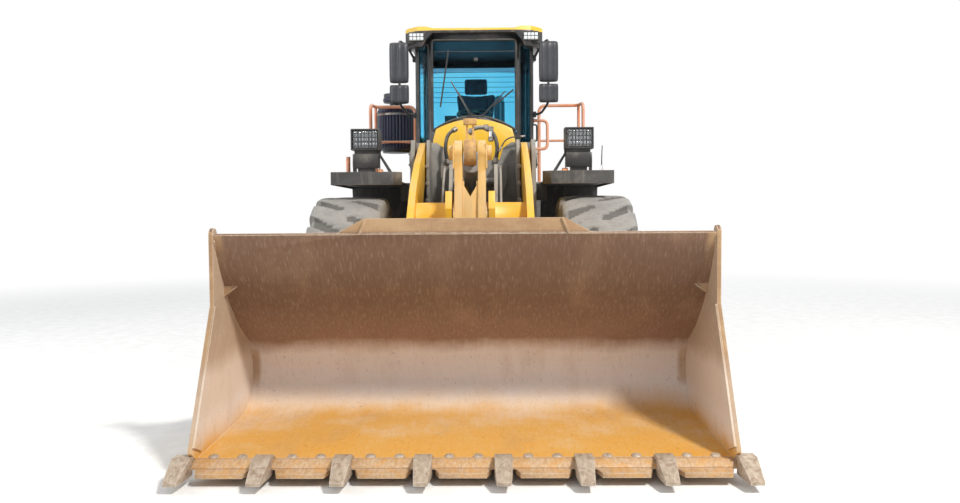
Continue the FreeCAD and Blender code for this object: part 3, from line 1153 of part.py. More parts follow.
def door():
    gap = PLATE_GAP
    front, rear = DOOR_FRONT_Y + gap, DOOR_REAR_Y - gap
    low, high = DOOR_SILL_Z + gap, DOOR_HEAD_Z - gap
    leaf = box(CAB_HALF - CAB_WALL, CAB_HALF, front, rear, low, high)
    window = box(CAB_HALF - 100, CAB_HALF + 40, front + DOOR_FRAME, rear - DOOR_FRAME, low + 75, high - DOOR_FRAME)
    handle = box(CAB_HALF - 5, CAB_HALF + 28, front + 20, front + 150, low + 175, low + 210)
    x, y = DOOR_HINGE
    pieces = [leaf.cut(window), handle]
    for z in DOOR_HINGE_Z:
        pieces.append(upright((x, y, z), KNUCKLE_HALF, KNUCKLE_RADIUS))
        pieces.append(box(CAB_HALF - 5, x, y - KNUCKLE_RADIUS - 40, y - 8, z - KNUCKLE_HALF, z + KNUCKLE_HALF))
    pins = [upright((x, y, z), 2 * KNUCKLE_HALF, DOOR_PIN_RADIUS + RUNNING_FIT) for z in DOOR_HINGE_Z]
    save("cab_door", [drilled(fused(pieces), pins)])
    middle = CAB_HALF - CAB_WALL / 2
    save("door_glass", [box(middle - GLASS, middle, front + DOOR_FRAME, rear - DOOR_FRAME, low + 75,
                            high - DOOR_FRAME)])


def cab_inside():
    floor = CAB_FLOOR_Z + CAB_FLOOR_PLATE + SEAT_GAP
    y = CAB_FRONT_Y
    seat = [
        box(-200, 200, y + 760, y + 1200, floor, floor + 330),
        box(-250, 250, y + 700, y + 1220, floor + 320, floor + 450),
        box(-240, 240, y + 1140, y + 1260, floor + 440, floor + 1000),
        box(-60, 60, y + 1170, y + 1220, floor + 980, floor + 1030),
        box(-140, 140, y + 1150, y + 1240, floor + 1010, floor + 1200),
    ]
    for side in (-1, 1):
        seat.append(box(side * 255, side * 330, y + 790, y + 1180, floor + 560, floor + 630))
        seat.append(box(side * 240, side * 300, y + 1120, y + 1180, floor + 340, floor + 600))
    save("seat", [fused(seat)])
    column = rod((0, y + 370, floor), (0, y + 470, floor + 640), 60)
    wheel = [
        facet_wheel(190, 18),
        rod((-178, 0, 0), (178, 0, 0), 14),
        rod((0, 0, -90), (0, 0, 12), 34),
    ]
    wheel = fused(wheel)
    wheel.rotate(V(0, 0, 0), V(1, 0, 0), 20)
    wheel.translate(V(0, y + 485, floor + 700))
    panel_box = box(-330, -200, y + 290, y + 400, floor + 500, floor + 660)
    arm = box(-330, 0, y + 355, y + 395, floor + 480, floor + 520)
    below = box(-400, 400, y + 140, y + 740, floor - 100, floor)
    save("console", [fused([column, wheel, panel_box, arm]).cut(below)])


def facet_wheel(radius, grip):
    """A steering wheel's rim in flat facets, about the z axis."""
    profile = []
    for step in range(8):
        turn = math.radians(45 * step)
        profile.append((grip * math.cos(turn), radius + grip * math.sin(turn)))
    rim_shape = facet_ring(profile, 24)
    rim_shape.rotate(V(0, 0, 0), V(0, 1, 0), 90)
    return rim_shape


def mirrors():
    """A bent tube each side of the cab's front carries a tall mirror over a square one."""
    near, far = 682.0, 886.0
    foot = CAB_HALF + SEAT_GAP
    tube_x = near + 100
    tube_y = CAB_CORNER_Y - 310
    pad_y = CAB_CORNER_Y + 42
    top, low = CAB_TOP_Z - 80, CAB_SILL_Z + 340
    arm = CAB_SIDE_RAIL_Z - 90
    pieces = [box(foot, foot + 34, pad_y - 30, pad_y + 30, z - 30, z + 30) for z in (arm, low)]
    pieces += [
        rod((foot + 20, pad_y, arm), (tube_x, tube_y, top), 12),
        rod((foot + 20, pad_y, low), (tube_x, tube_y, low + 60), 12),
        rod((tube_x, tube_y, low + 40), (tube_x, tube_y, top + 20), 15),
    ]
    for z0, z1, width in ((top - 455, top - 30, 204), (top - 668, top - 472, 200)):
        outline = [(near, z0 + 30), (near + 25, z0), (near + width - 25, z0), (near + width, z0 + 30),
                   (near + width, z1 - 30), (near + width - 25, z1), (near + 25, z1), (near, z1 - 30)]
        pieces.append(panel(outline, tube_y - 30, tube_y + 42))
    save("mirrors", pair(fused(pieces)))


def handrails():
    """Each side: a corner rail with a middle bar at the deck's rear, and a grab loop on the cab's right front pillar."""
    foot_z = DECK_Z + DECK_PLATE + SEAT_GAP
    outer = DECK_HALF - 60
    posts = [(outer, DECK_REAR_Y - 290), (outer - 30, DECK_REAR_Y - 30), (800, DECK_REAR_Y - 30)]
    pieces = [rod((x, y, foot_z), (x, y, RAIL_TOP + RAIL_RADIUS), RAIL_RADIUS) for x, y in posts]
    for first, last in zip(posts, posts[1:]):
        for z in (RAIL_TOP, RAIL_MIDDLE):
            pieces.append(rod((first[0], first[1], z), (last[0], last[1], z), RAIL_BAR_RADIUS))
    pieces += [rod((x, y, foot_z), (x, y, foot_z + 10), 45) for x, y in posts]
    foot = CAB_HALF + SEAT_GAP
    y = CAB_CORNER_Y + 45
    loop_x, low, high = 795.0, 2265.0, 2575.0
    loop = [
        rod((foot, y, high), (loop_x, y, high), RAIL_BAR_RADIUS),
        rod((foot, y, low), (loop_x, y, low), RAIL_BAR_RADIUS),
        rod((loop_x, y, low - RAIL_RADIUS), (loop_x, y, high + RAIL_RADIUS), RAIL_RADIUS),
    ]
    save("handrails", pair(fused(pieces)) + [fused(loop)])


def stacks():
    """The air cleaner's canister with its hooded cap beside the hood, and the exhaust pipe on the hood."""
    x, y = -1080.0, HOOD_FRONT_Y + 360
    canister = fused([
        rod((x, y, 2410), (x, y, 2960), 235),
        rod((x, y, 2380), (x, y, 2415), 180),
        rod((x, y, 2950), (x, y, 3060), 80),
        rod((x, y, 3040), (x, y, 3150), 160),
        rod((x, y, 2500), (-600, y, 2500), 70),
        box(x + 100, -HOOD_HALF - SEAT_GAP, y - 60, y + 60, 2385, 2400),
        rod((x, y, 2385), (x, y, 2400), 120),
    ])
    exhaust = fused([
        rod((300, REAR_AXLE_Y + 240, 2300), (300, REAR_AXLE_Y + 240, 3130), 75),
        rod((300, REAR_AXLE_Y + 240, 2560), (300, REAR_AXLE_Y + 240, 2600), 110),
        rod((300, REAR_AXLE_Y + 240, 3090), (300, REAR_AXLE_Y + 340, 3180), 66),
    ])
    hood_skin = hood_block(-SEAT_GAP)
    save("stacks", [canister.cut(hood_skin), exhaust.cut(hood_skin)])


def main():
    wheels()
    axles()
    front_frame()
    front_fenders()
    headlamps()
    lift_arms()
    bellcrank()
    tilt_link()
    bucket_edge(bucket())
    lift_cylinders()
    tilt_cylinder()
    steering_cylinders()
    rear_frame()
    drivetrain()
    hood()
    counterweight()
    rear_fenders()
    platforms()
    cab()
    cab_roof()
    cowl()
    door()
    cab_inside()
    mirrors()
    handrails()
    stacks()


main()
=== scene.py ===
# %% [markdown]
# # A wheel loader, dressed piece by piece
# The imported model brings the plates, pins and cylinders, each in its real place. This file adds what the
# plates lack: worn paint, bare steel, rubber with its tread, lamps, hoses, seals and bolts.
# The model is loaded first, and the boxes of its parts are read where new pieces need them.

import json
import math

import bmesh
import bpy
import numpy as np
from mathutils import Matrix, Vector
from mathutils.bvhtree import BVHTree


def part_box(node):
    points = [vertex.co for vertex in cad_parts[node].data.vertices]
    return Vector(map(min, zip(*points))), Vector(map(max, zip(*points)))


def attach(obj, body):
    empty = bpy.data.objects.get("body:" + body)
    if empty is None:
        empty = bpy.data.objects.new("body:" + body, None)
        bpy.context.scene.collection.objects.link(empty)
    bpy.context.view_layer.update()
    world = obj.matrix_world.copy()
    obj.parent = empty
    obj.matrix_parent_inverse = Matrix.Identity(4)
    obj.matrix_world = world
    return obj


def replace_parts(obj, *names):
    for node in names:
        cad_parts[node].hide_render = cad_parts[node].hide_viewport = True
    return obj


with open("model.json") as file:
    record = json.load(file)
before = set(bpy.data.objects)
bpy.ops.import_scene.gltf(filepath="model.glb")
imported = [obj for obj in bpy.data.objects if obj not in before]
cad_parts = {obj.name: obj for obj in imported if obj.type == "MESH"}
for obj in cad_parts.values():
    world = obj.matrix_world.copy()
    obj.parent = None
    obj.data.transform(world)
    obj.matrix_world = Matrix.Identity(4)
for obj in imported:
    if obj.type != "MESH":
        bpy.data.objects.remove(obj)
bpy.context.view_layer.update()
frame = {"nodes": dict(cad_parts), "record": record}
nodes = frame["nodes"]
FRONT_AXLE_Y = -1.09
REAR_AXLE_Y = 2.46
AXLE_Z = 0.862
TYRE_X = 1.14
CAMERA_SPOT = (0.167, -9.0, 1.547)
SIDES = (("l", 1.0), ("r", -1.0))

# %% [markdown]
# ## The camera
# The picture was taken from straight ahead at chest height, with a lens that is a little wide. A camera is
# described by where it stands, how it is turned, and how much it takes in: 31 mm on a 36 mm wide sensor.
# The turns are multiplied in order: yaw to the left, pitch just below level, and a small roll.

# %% Camera
eye = bpy.data.cameras.new("eye")
eye.lens = 31.0
eye.sensor_width = 36.0
camera = bpy.data.objects.new("eye", eye)
bpy.context.scene.collection.objects.link(camera)
yaw = Matrix.Rotation(math.radians(0.75), 4, "Z")
pitch = Matrix.Rotation(math.radians(90 - 2.53), 4, "X")
roll = Matrix.Rotation(math.radians(-0.4), 4, "Z")
camera.matrix_world = Matrix.Translation(CAMERA_SPOT) @ yaw @ pitch @ roll
bpy.context.scene.camera = camera
print("camera at", [round(v, 3) for v in camera.location])

# %% [markdown]
# ## Nodes, with less typing
# A material is a small graph. Two helpers keep the graphs short: one adds a node and fills its sockets,
# the other mixes two colours by a mask. A value that is a socket is linked, and a plain number is typed in.


# %% Node helpers
finishes = {}


def place(tree, kind, inputs=None, **settings):
    """Adds one node; settings are its own properties, inputs go to its sockets by name or number."""
    node = tree.nodes.new(kind)
    for key, value in settings.items():
        setattr(node, key, value)
    for key, value in (inputs or {}).items():
        if isinstance(value, bpy.types.NodeSocket):
            tree.links.new(value, node.inputs[key])
        else:
            node.inputs[key].default_value = value
    return node


def rgba(colour):
    return (*colour, 1.0)


def mixed(tree, mask, first, second):
    """Colour = first * (1 - mask) + second * mask."""
    first = rgba(first) if isinstance(first, tuple) else first
    second = rgba(second) if isinstance(second, tuple) else second
    return place(tree, "ShaderNodeMix", {0: mask, 6: first, 7: second}, data_type="RGBA").outputs[2]


def calc(tree, operation, first, second=0.0):
    """One step of arithmetic on two numbers."""
    return place(tree, "ShaderNodeMath", {0: first, 1: second}, operation=operation).outputs[0]


def times(tree, first, second):
    return calc(tree, "MULTIPLY", first, second)


def plus(tree, first, second):
    return calc(tree, "ADD", first, second)


def minus(tree, first, second):
    return calc(tree, "SUBTRACT", first, second)


def larger(tree, first, second):
    return calc(tree, "MAXIMUM", first, second)


def layer(tree, colour, mask, strength, tone):
    """The tone laid over the colour where the mask is 1, at that strength."""
    return mixed(tree, times(tree, mask, strength), colour, tone)


def spread(tree, value, low, high, out_low=0.0, out_high=1.0):
    """A smooth step: value goes from out_low at low to out_high at high."""
    inputs = {"Value": value, "From Min": low, "From Max": high, "To Min": out_low, "To Max": out_high}
    return place(tree, "ShaderNodeMapRange", inputs, interpolation_type="SMOOTHSTEP").outputs[0]


def noise(tree, vector, scale, detail=4.0, rough=0.6):
    inputs = {"Vector": vector, "Scale": scale, "Detail": detail, "Roughness": rough}
    return place(tree, "ShaderNodeTexNoise", inputs).outputs[0]


def stretched(tree, vector, scale):
    return place(tree, "ShaderNodeMapping", {"Vector": vector, "Scale": scale}).outputs[0]


def spot_of(tree):
    """Where the shaded point is, in the machine's own metres."""
    return place(tree, "ShaderNodeTexCoord").outputs["Object"]


def parts_of(tree, vector):
    """The outputs X, Y and Z of a vector."""
    return place(tree, "ShaderNodeSeparateXYZ", {0: vector}).outputs


def seen_directly(tree):
    """1 for the eye, for reflections and through glass, 0 for light that falls on the machine."""
    ray = place(tree, "ShaderNodeLightPath").outputs
    return larger(tree, larger(tree, ray["Is Camera Ray"], ray["Is Glossy Ray"]), ray["Is Transmission Ray"])


def new_finish(name):
    """Adds an empty material to the finishes and returns its tree."""
    finishes[name] = bpy.data.materials.new(name)
    finishes[name].use_nodes = True
    finishes[name].node_tree.nodes.clear()
    return finishes[name].node_tree


# %% [markdown]
# ## The plain studio
# The machine stands on a pale floor under a soft, even sky. A large lamp high on the right plays the sun of
# a clear day with its shadows softened, and weaker lamps keep the other sides readable. Far from the machine
# the floor fades to white, for the eye and for reflections only, so that it meets the backdrop with no line.


# %% Sky and lamps
def studio_sky(level):
    """White to the eye, to mirrors and through glass; a soft pale light on everything else."""
    world = bpy.data.worlds.new("sky")
    world.use_nodes = True
    tree = world.node_tree
    tree.nodes.clear()
    light = place(tree, "ShaderNodeBackground", {"Color": (0.93, 0.96, 1.0, 1.0), "Strength": level})
    plain = place(tree, "ShaderNodeBackground", {"Color": (1.0, 1.0, 1.0, 1.0), "Strength": 1.0})
    both = place(tree, "ShaderNodeMixShader",
                 {0: seen_directly(tree), 1: light.outputs[0], 2: plain.outputs[0]})
    place(tree, "ShaderNodeOutputWorld", {"Surface": both.outputs[0]})
    bpy.context.scene.world = world


def soft_lamp(name, spot, target, size, watts, colour=(1.0, 1.0, 1.0)):
    """A square lamp at spot that looks at target."""
    light = bpy.data.lights.new(name, "AREA")
    light.shape = "SQUARE"
    light.size = size
    light.energy = watts
    light.color = colour
    lamp = bpy.data.objects.new(name, light)
    bpy.context.scene.collection.objects.link(lamp)
    gaze = Matrix.Translation(target).to_translation() - Matrix.Translation(spot).to_translation()
    lamp.matrix_world = Matrix.Translation(spot) @ gaze.to_track_quat("-Z", "Y").to_matrix().to_4x4()


studio_sky(0.58)
soft_lamp("sun", (6.5, -10.5, 11.5), (0.0, -2.5, 0.8), 1.7, 2100, (1.0, 0.97, 0.92))
soft_lamp("left_fill", (-10.0, -5.0, 6.0), (0.0, -0.5, 1.5), 6.0, 420)
soft_lamp("back_fill", (3.0, 10.5, 12.0), (0.0, 1.5, 1.5), 7.0, 700)
bpy.context.scene.view_settings.view_transform = "Standard"
print("studio ready")


# %% Pale floor
def pale_floor(radius):
    """A round floor: point(a, r) = (r cos a, r sin a, 0), with r growing towards the rim."""
    angle = np.linspace(0, 2 * np.pi, 96, endpoint=False)
    reach = np.array([0.001, 4.0, 10.0, 25.0, radius])
    x = reach[:, None] * np.cos(angle)
    y = reach[:, None] * np.sin(angle)
    points = np.stack([x, y, np.full_like(x, -0.002)], axis=-1).reshape(-1, 3)
    row, column = np.meshgrid(np.arange(4), np.arange(96), indexing="ij")
    after = (column + 1) % 96
    low, high = row * 96, (row + 1) * 96
    quads = np.stack([low + column, high + column, high + after, low + after], -1)
    mesh = bpy.data.meshes.new("floor")
    mesh.from_pydata(points, [], quads.reshape(-1, 4).tolist())
    floor = bpy.data.objects.new("floor", mesh)
    bpy.context.scene.collection.objects.link(floor)
    tree = new_finish("pale_floor")
    where = spot_of(tree)
    length = place(tree, "ShaderNodeVectorMath", {0: where}, operation="LENGTH").outputs["Value"]
    far = spread(tree, length, 6.5, 15.0)
    tone = noise(tree, where, 6.0)
    colour = mixed(tree, spread(tree, tone, 0.35, 0.65), (0.80, 0.80, 0.79), (0.86, 0.86, 0.85))
    matt = place(tree, "ShaderNodeBsdfDiffuse", {"Color": colour})
    white = place(tree, "ShaderNodeEmission", {"Color": (1.0, 1.0, 1.0, 1.0), "Strength": 1.0})
    both = place(tree, "ShaderNodeMixShader",
                 {0: times(tree, far, seen_directly(tree)), 1: matt.outputs[0], 2: white.outputs[0]})
    place(tree, "ShaderNodeOutputMaterial", {"Surface": both.outputs[0]})
    mesh.materials.append(finishes["pale_floor"])


pale_floor(60.0)
print("floor laid")

# %% [markdown]
# ## Effects that many finishes share
# Age shows the same way on paint, rubber and steel: edges are rubbed bare, dust settles on what faces up,
# water leaves streaks, and rust comes in patches. Each effect is one node group that gives a mask, so each
# finish can use it with its own strength. All of them read the machine's own coordinates in metres.


# %% Effect groups
def effect(name, inputs, output="Mask"):
    """An empty shader group with number inputs and one number output: tree, inputs, coordinates, finisher."""
    tree = bpy.data.node_groups.new(name, "ShaderNodeTree")
    for label, value in inputs.items():
        socket = tree.interface.new_socket(name=label, in_out="INPUT", socket_type="NodeSocketFloat")
        socket.default_value = value
    tree.interface.new_socket(name=output, in_out="OUTPUT", socket_type="NodeSocketFloat")
    start = tree.nodes.new("NodeGroupInput")
    end = tree.nodes.new("NodeGroupOutput")

    def finish(socket):
        tree.links.new(socket, end.inputs[0])
        return tree

    where = tree.nodes.new("ShaderNodeTexCoord")
    return tree, start.outputs, where, finish


def make_edge_wear():
    """Where the rounded normal turns away from the true one there is an edge; noise breaks its line."""
    tree, given, where, finish = effect("edge_wear", {"Radius": 0.008, "Amount": 0.5, "Scale": 9.0})
    soft = place(tree, "ShaderNodeBevel", {"Radius": given["Radius"]}, samples=4)
    true = place(tree, "ShaderNodeNewGeometry")
    along = place(tree, "ShaderNodeVectorMath", {0: soft.outputs[0], 1: true.outputs["Normal"]},
                  operation="DOT_PRODUCT").outputs["Value"]
    turned = minus(tree, 1.0, along)
    broken = noise(tree, where.outputs["Object"], given["Scale"], 6.0, 0.7)
    value = plus(tree, times(tree, turned, 3.2), minus(tree, broken, 1.0))
    value = plus(tree, value, times(tree, given["Amount"], 0.5))
    return finish(spread(tree, value, 0.0, 0.16))


def make_dust():
    """Thick on faces that look up, thin on walls, in soft clouds."""
    tree, given, where, finish = effect("dust", {"Amount": 0.5, "Scale": 4.0})
    up = parts_of(tree, where.outputs["Normal"])["Z"]
    cloud = noise(tree, where.outputs["Object"], given["Scale"], 7.0, 0.68)
    value = plus(tree, times(tree, up, 0.42), times(tree, cloud, 1.1))
    value = plus(tree, value, minus(tree, given["Amount"], 1.0))
    return finish(spread(tree, value, -0.15, 0.55))


def make_streaks():
    """Noise drawn out along z, as water and mud leave it on walls."""
    tree, given, where, finish = effect("streaks", {"Amount": 0.5, "Scale": 14.0})
    long = stretched(tree, where.outputs["Object"], (1.0, 1.0, 0.07))
    line = noise(tree, long, given["Scale"], 5.0, 0.62)
    value = plus(tree, line, minus(tree, given["Amount"], 1.0))
    return finish(spread(tree, value, -0.1, 0.25))


def make_patches():
    """Ragged islands from noise that bends its own coordinates."""
    tree, given, where, finish = effect("patches", {"Amount": 0.5, "Scale": 5.0})
    inputs = {"Vector": where.outputs["Object"], "Scale": given["Scale"], "Detail": 9.0, "Roughness": 0.72,
              "Distortion": 0.8}
    island = place(tree, "ShaderNodeTexNoise", inputs).outputs[0]
    value = plus(tree, island, minus(tree, given["Amount"], 1.0))
    return finish(spread(tree, value, -0.03, 0.1))


def make_grain():
    """A fine height: the pebbled skin of sprayed paint, rubber or cast iron."""
    tree, given, where, finish = effect("grain", {"Scale": 220.0, "Coarse": 30.0}, "Height")
    fine = noise(tree, where.outputs["Object"], given["Scale"], 3.0, 0.55)
    wide = noise(tree, where.outputs["Object"], given["Coarse"], 4.0, 0.6)
    return finish(plus(tree, times(tree, fine, 0.5), times(tree, wide, 0.5)))


edge_wear = make_edge_wear()
dust = make_dust()
streaks = make_streaks()
patches = make_patches()
grain = make_grain()
print("effects", [group.name for group in (edge_wear, dust, streaks, patches, grain)])


# %% Finish helpers
def use(tree, group, **values):
    node = place(tree, "ShaderNodeGroup", node_tree=group)
    for label, value in values.items():
        node.inputs[label.capitalize()].default_value = value
    return node.outputs[0]


def close_finish(tree, colour, rough, height=None, depth=0.0, **fixed):
    """The shader with its colour, roughness and bump; fixed are the values that are the same all over."""
    inputs = {"Base Color": colour, "Roughness": rough}
    if height is not None:
        bump = place(tree, "ShaderNodeBump", {"Height": height, "Distance": depth, "Strength": 1.0})
        inputs["Normal"] = bump.outputs[0]
    inputs.update({key.replace("_", " "): value for key, value in fixed.items()})
    shader = place(tree, "ShaderNodeBsdfPrincipled", inputs)
    place(tree, "ShaderNodeOutputMaterial", {"Surface": shader.outputs[0]})


# %% [markdown]
# ## Paint that has worked outdoors
# The real machine's paint is faded in clouds, scuffed to primer and rust on its edges, streaked by rain and
# covered by pale dust on everything that looks up. One recipe serves all painted plates: paint, a faded
# tone, streaks, chips, dust. Only the tones and the strengths change from frame to arms to hood.


# %% Painted steel
def painted(name, paint, faded, bare, grit, rough=0.42, wear=0.42, chips=0.30, dusty=0.42, streaky=0.42,
            black_below=None):
    tree = new_finish(name)
    clouds = use(tree, patches, amount=0.52, scale=1.7)
    colour = mixed(tree, times(tree, clouds, 0.6), paint, faded)
    if black_below:
        height = parts_of(tree, spot_of(tree))["Z"]
        above = spread(tree, height, black_below, black_below + 0.004)
        colour = mixed(tree, above, (0.03, 0.03, 0.032), colour)
    lines = use(tree, streaks, amount=streaky, scale=16.0)
    colour = layer(tree, colour, lines, 0.45, tuple(0.55 * c for c in grit))
    rubbed = use(tree, edge_wear, radius=0.007, amount=wear, scale=26.0)
    chipped = use(tree, patches, amount=chips, scale=9.0)
    worn = larger(tree, rubbed, chipped)
    colour = mixed(tree, worn, colour, bare)
    settled = use(tree, dust, amount=dusty, scale=3.5)
    colour = layer(tree, colour, settled, 0.8, grit)
    roughness = spread(tree, larger(tree, settled, worn), 0.0, 1.0, rough, 0.85)
    skin = use(tree, grain, scale=260.0, coarse=18.0)
    height = minus(tree, skin, times(tree, worn, 0.5))
    close_finish(tree, colour, roughness, height, 0.0012)


RUST = (0.20, 0.095, 0.045)
DUST = (0.46, 0.42, 0.36)
painted("frame_grey", (0.145, 0.145, 0.14), (0.22, 0.21, 0.20), RUST, DUST, 0.5, dusty=0.5)
painted("fender_dark", (0.045, 0.045, 0.046), (0.075, 0.073, 0.07), RUST, DUST, 0.5, dusty=0.36)
painted("cast_grey", (0.12, 0.12, 0.12), (0.18, 0.175, 0.17), RUST, DUST, 0.6, dusty=0.55)
painted("cylinder_grey", (0.20, 0.20, 0.195), (0.28, 0.27, 0.26), RUST, DUST, 0.45)
painted("arm_yellow", (0.83, 0.45, 0.018), (0.80, 0.47, 0.06), (0.23, 0.10, 0.04),
        (0.62, 0.46, 0.26), 0.36, wear=0.36, chips=0.27, dusty=0.20)
painted("bellcrank_yellow", (0.76, 0.42, 0.09), (0.70, 0.46, 0.18), (0.24, 0.12, 0.05),
        (0.62, 0.47, 0.30), 0.45, wear=0.44, chips=0.33, dusty=0.42, streaky=0.5)
painted("body_yellow", (0.84, 0.50, 0.03), (0.80, 0.55, 0.12), (0.25, 0.13, 0.06),
        (0.60, 0.52, 0.38), 0.30, wear=0.30, chips=0.22, dusty=0.34)
painted("roof", (0.84, 0.50, 0.03), (0.80, 0.55, 0.12), (0.25, 0.13, 0.06), (0.60, 0.52, 0.38), 0.30,
        wear=0.30, chips=0.22, dusty=0.34, black_below=3.493)
painted("rail_orange", (0.74, 0.27, 0.13), (0.76, 0.42, 0.30), RUST, (0.66, 0.52, 0.42), 0.45,
        dusty=0.40)
painted("rim", (0.62, 0.43, 0.13), (0.56, 0.45, 0.24), RUST, DUST, 0.5, dusty=0.56)
print("paint", sorted(finishes))

# %% [markdown]
# ## Bare steel of the bucket
# The bucket carries three stories. Outside it is old yellow paint. Inside, the floor is ochre where wet soil
# rusts, the round of the back is rubbed to a pale beige steel with scratches, and the top is rust brown,
# painted darker still as painted shade where the spill guard shades it.
# The bands follow height, and noise bends their borders. Faces are told apart by whether their normal looks
# away from the middle of the bucket.


# %% Bucket steel
def bucket_middle(tree):
    """Where the point is, a mask that is 1 on the bucket's outer faces, and the way the face looks."""
    where = place(tree, "ShaderNodeTexCoord")
    facing = parts_of(tree, where.outputs["Normal"])
    inner = place(tree, "ShaderNodeVectorMath", {0: where.outputs["Object"], 1: (0.0, -3.55, 0.85)},
                  operation="SUBTRACT").outputs[0]
    out = place(tree, "ShaderNodeVectorMath", {0: inner, 1: where.outputs["Normal"]},
                operation="DOT_PRODUCT").outputs["Value"]
    away = times(tree, spread(tree, out, 0.0, 0.05), spread(tree, facing["Y"], -0.55, -0.25))
    return where.outputs["Object"], times(tree, away, spread(tree, facing["Z"], 0.7, 0.4)), facing


def bucket_steel_finish():
    tree = new_finish("bucket_steel")
    point, outside, facing = bucket_middle(tree)
    split = parts_of(tree, point)
    wander = times(tree, minus(tree, noise(tree, point, 2.3, 6.0, 0.65), 0.5), 0.16)
    drawn = noise(tree, stretched(tree, point, (1.0, 0.12, 0.06)), 30.0, 6.0, 0.65)
    level = plus(tree, split["Z"], plus(tree, wander, times(tree, drawn, 0.05)))
    bands = place(tree, "ShaderNodeValToRGB", {"Fac": calc(tree, "DIVIDE", level, 1.55)})
    ramp = bands.color_ramp
    # From 0.70 m up the brown is darker than the steel's own tone: painted shade under the spill guard.
    heights = [(0.10, (0.68, 0.295, 0.02)), (0.165, (0.66, 0.35, 0.08)), (0.235, (0.70, 0.53, 0.38)),
               (0.34, (0.74, 0.67, 0.63)), (0.58, (0.72, 0.63, 0.58)), (0.70, (0.26, 0.15, 0.10)),
               (1.00, (0.16, 0.086, 0.050)), (1.45, (0.17, 0.09, 0.052))]
    tones = [(height / 1.55, tone) for height, tone in heights]
    ramp.elements[0].position, ramp.elements[0].color = tones[0][0], rgba(tones[0][1])
    ramp.elements[1].position, ramp.elements[1].color = tones[-1][0], rgba(tones[-1][1])
    for position, tone in tones[1:-1]:
        ramp.elements.new(position).color = rgba(tone)
    colour = bands.outputs[0]
    fine = noise(tree, stretched(tree, point, (1.0, 0.25, 0.14)), 85.0, 5.0, 0.7)
    colour = mixed(tree, spread(tree, fine, 0.48, 0.78, 0.0, 0.28), colour, (0.58, 0.46, 0.34))
    colour = mixed(tree, spread(tree, fine, 0.44, 0.22, 0.0, 0.40), colour, (0.15, 0.085, 0.05))
    soil = noise(tree, stretched(tree, point, (1.0, 0.6, 0.35)), 3.2, 8.0, 0.62)
    colour = mixed(tree, spread(tree, soil, 0.50, 0.75, 0.0, 0.30), colour, (0.40, 0.25, 0.15))
    specks = use(tree, patches, amount=0.40, scale=38.0)
    colour = layer(tree, colour, specks, 0.5, (0.17, 0.10, 0.065))
    rubbed = use(tree, edge_wear, radius=0.012, amount=0.62, scale=14.0)
    colour = mixed(tree, rubbed, colour, (0.66, 0.55, 0.41))
    paint = mixed(tree, use(tree, patches, amount=0.50, scale=2.0), (0.74, 0.45, 0.07), (0.62, 0.46, 0.22))
    scraped = larger(tree, use(tree, patches, amount=0.47, scale=4.5), rubbed)
    low = spread(tree, plus(tree, split["Z"], wander), 0.16, 0.55, 1.0, 0.0)
    scraped = larger(tree, scraped, low)
    paint = mixed(tree, scraped, paint, mixed(tree, fine, (0.30, 0.15, 0.07), (0.42, 0.29, 0.19)))
    paint = mixed(tree, times(tree, use(tree, dust, amount=0.5, scale=3.0), 0.7), paint,
                  (0.50, 0.42, 0.31))
    across = calc(tree, "ABSOLUTE", facing["X"])
    walls = times(tree, spread(tree, across, 0.75, 0.95), spread(tree, split["Z"], 0.20, 0.40))
    colour = layer(tree, colour, walls, 0.55, (0.60, 0.47, 0.34))
    # Only the front edges of the side plates and of the top are rims; the inside looks forward too.
    border = larger(tree, spread(tree, calc(tree, "ABSOLUTE", split["X"]), 1.50, 1.54),
                  spread(tree, split["Z"], 1.43, 1.46))
    rim_face = times(tree, spread(tree, facing["Y"], -0.80, -0.97), border)
    blotch = noise(tree, stretched(tree, point, (0.5, 1.0, 1.0)), 4.0, 8.0, 0.7)
    rim_tone = mixed(tree, spread(tree, blotch, 0.38, 0.66), (0.46, 0.30, 0.155), (0.32, 0.18, 0.085))
    colour = layer(tree, colour, rim_face, 0.75, rim_tone)
    colour = mixed(tree, outside, colour, paint)
    skin = use(tree, grain, scale=180.0, coarse=10.0)
    height = plus(tree, skin, times(tree, fine, 0.6))
    shine = spread(tree, fine, 0.3, 0.8, 0.68, 0.46)
    close_finish(tree, colour, shine, height, 0.0022, Metallic=0.0)


def edge_steel_finish():
    """Tan, polished by soil: rust in the hollows, bright rubs on the corners, short scratches along y."""
    tree = new_finish("edge_steel")
    point = spot_of(tree)
    drawn = noise(tree, stretched(tree, point, (1.0, 0.16, 1.0)), 60.0, 5.0, 0.7)
    colour = mixed(tree, spread(tree, drawn, 0.3, 0.72), (0.42, 0.24, 0.11), (0.58, 0.42, 0.27))
    soil = use(tree, patches, amount=0.5, scale=9.0)
    colour = layer(tree, colour, soil, 0.5, (0.58, 0.28, 0.05))
    rubbed = use(tree, edge_wear, radius=0.010, amount=0.6, scale=30.0)
    colour = mixed(tree, rubbed, colour, (0.64, 0.54, 0.43))
    metal = spread(tree, larger(tree, rubbed, spread(tree, drawn, 0.5, 0.9)), 0.0, 1.0, 0.0, 0.55)
    skin = use(tree, grain, scale=150.0, coarse=22.0)
    height = plus(tree, skin, times(tree, drawn, 0.5))
    close_finish(tree, colour, spread(tree, drawn, 0.3, 0.8, 0.62, 0.42), height, 0.0018, Metallic=metal)


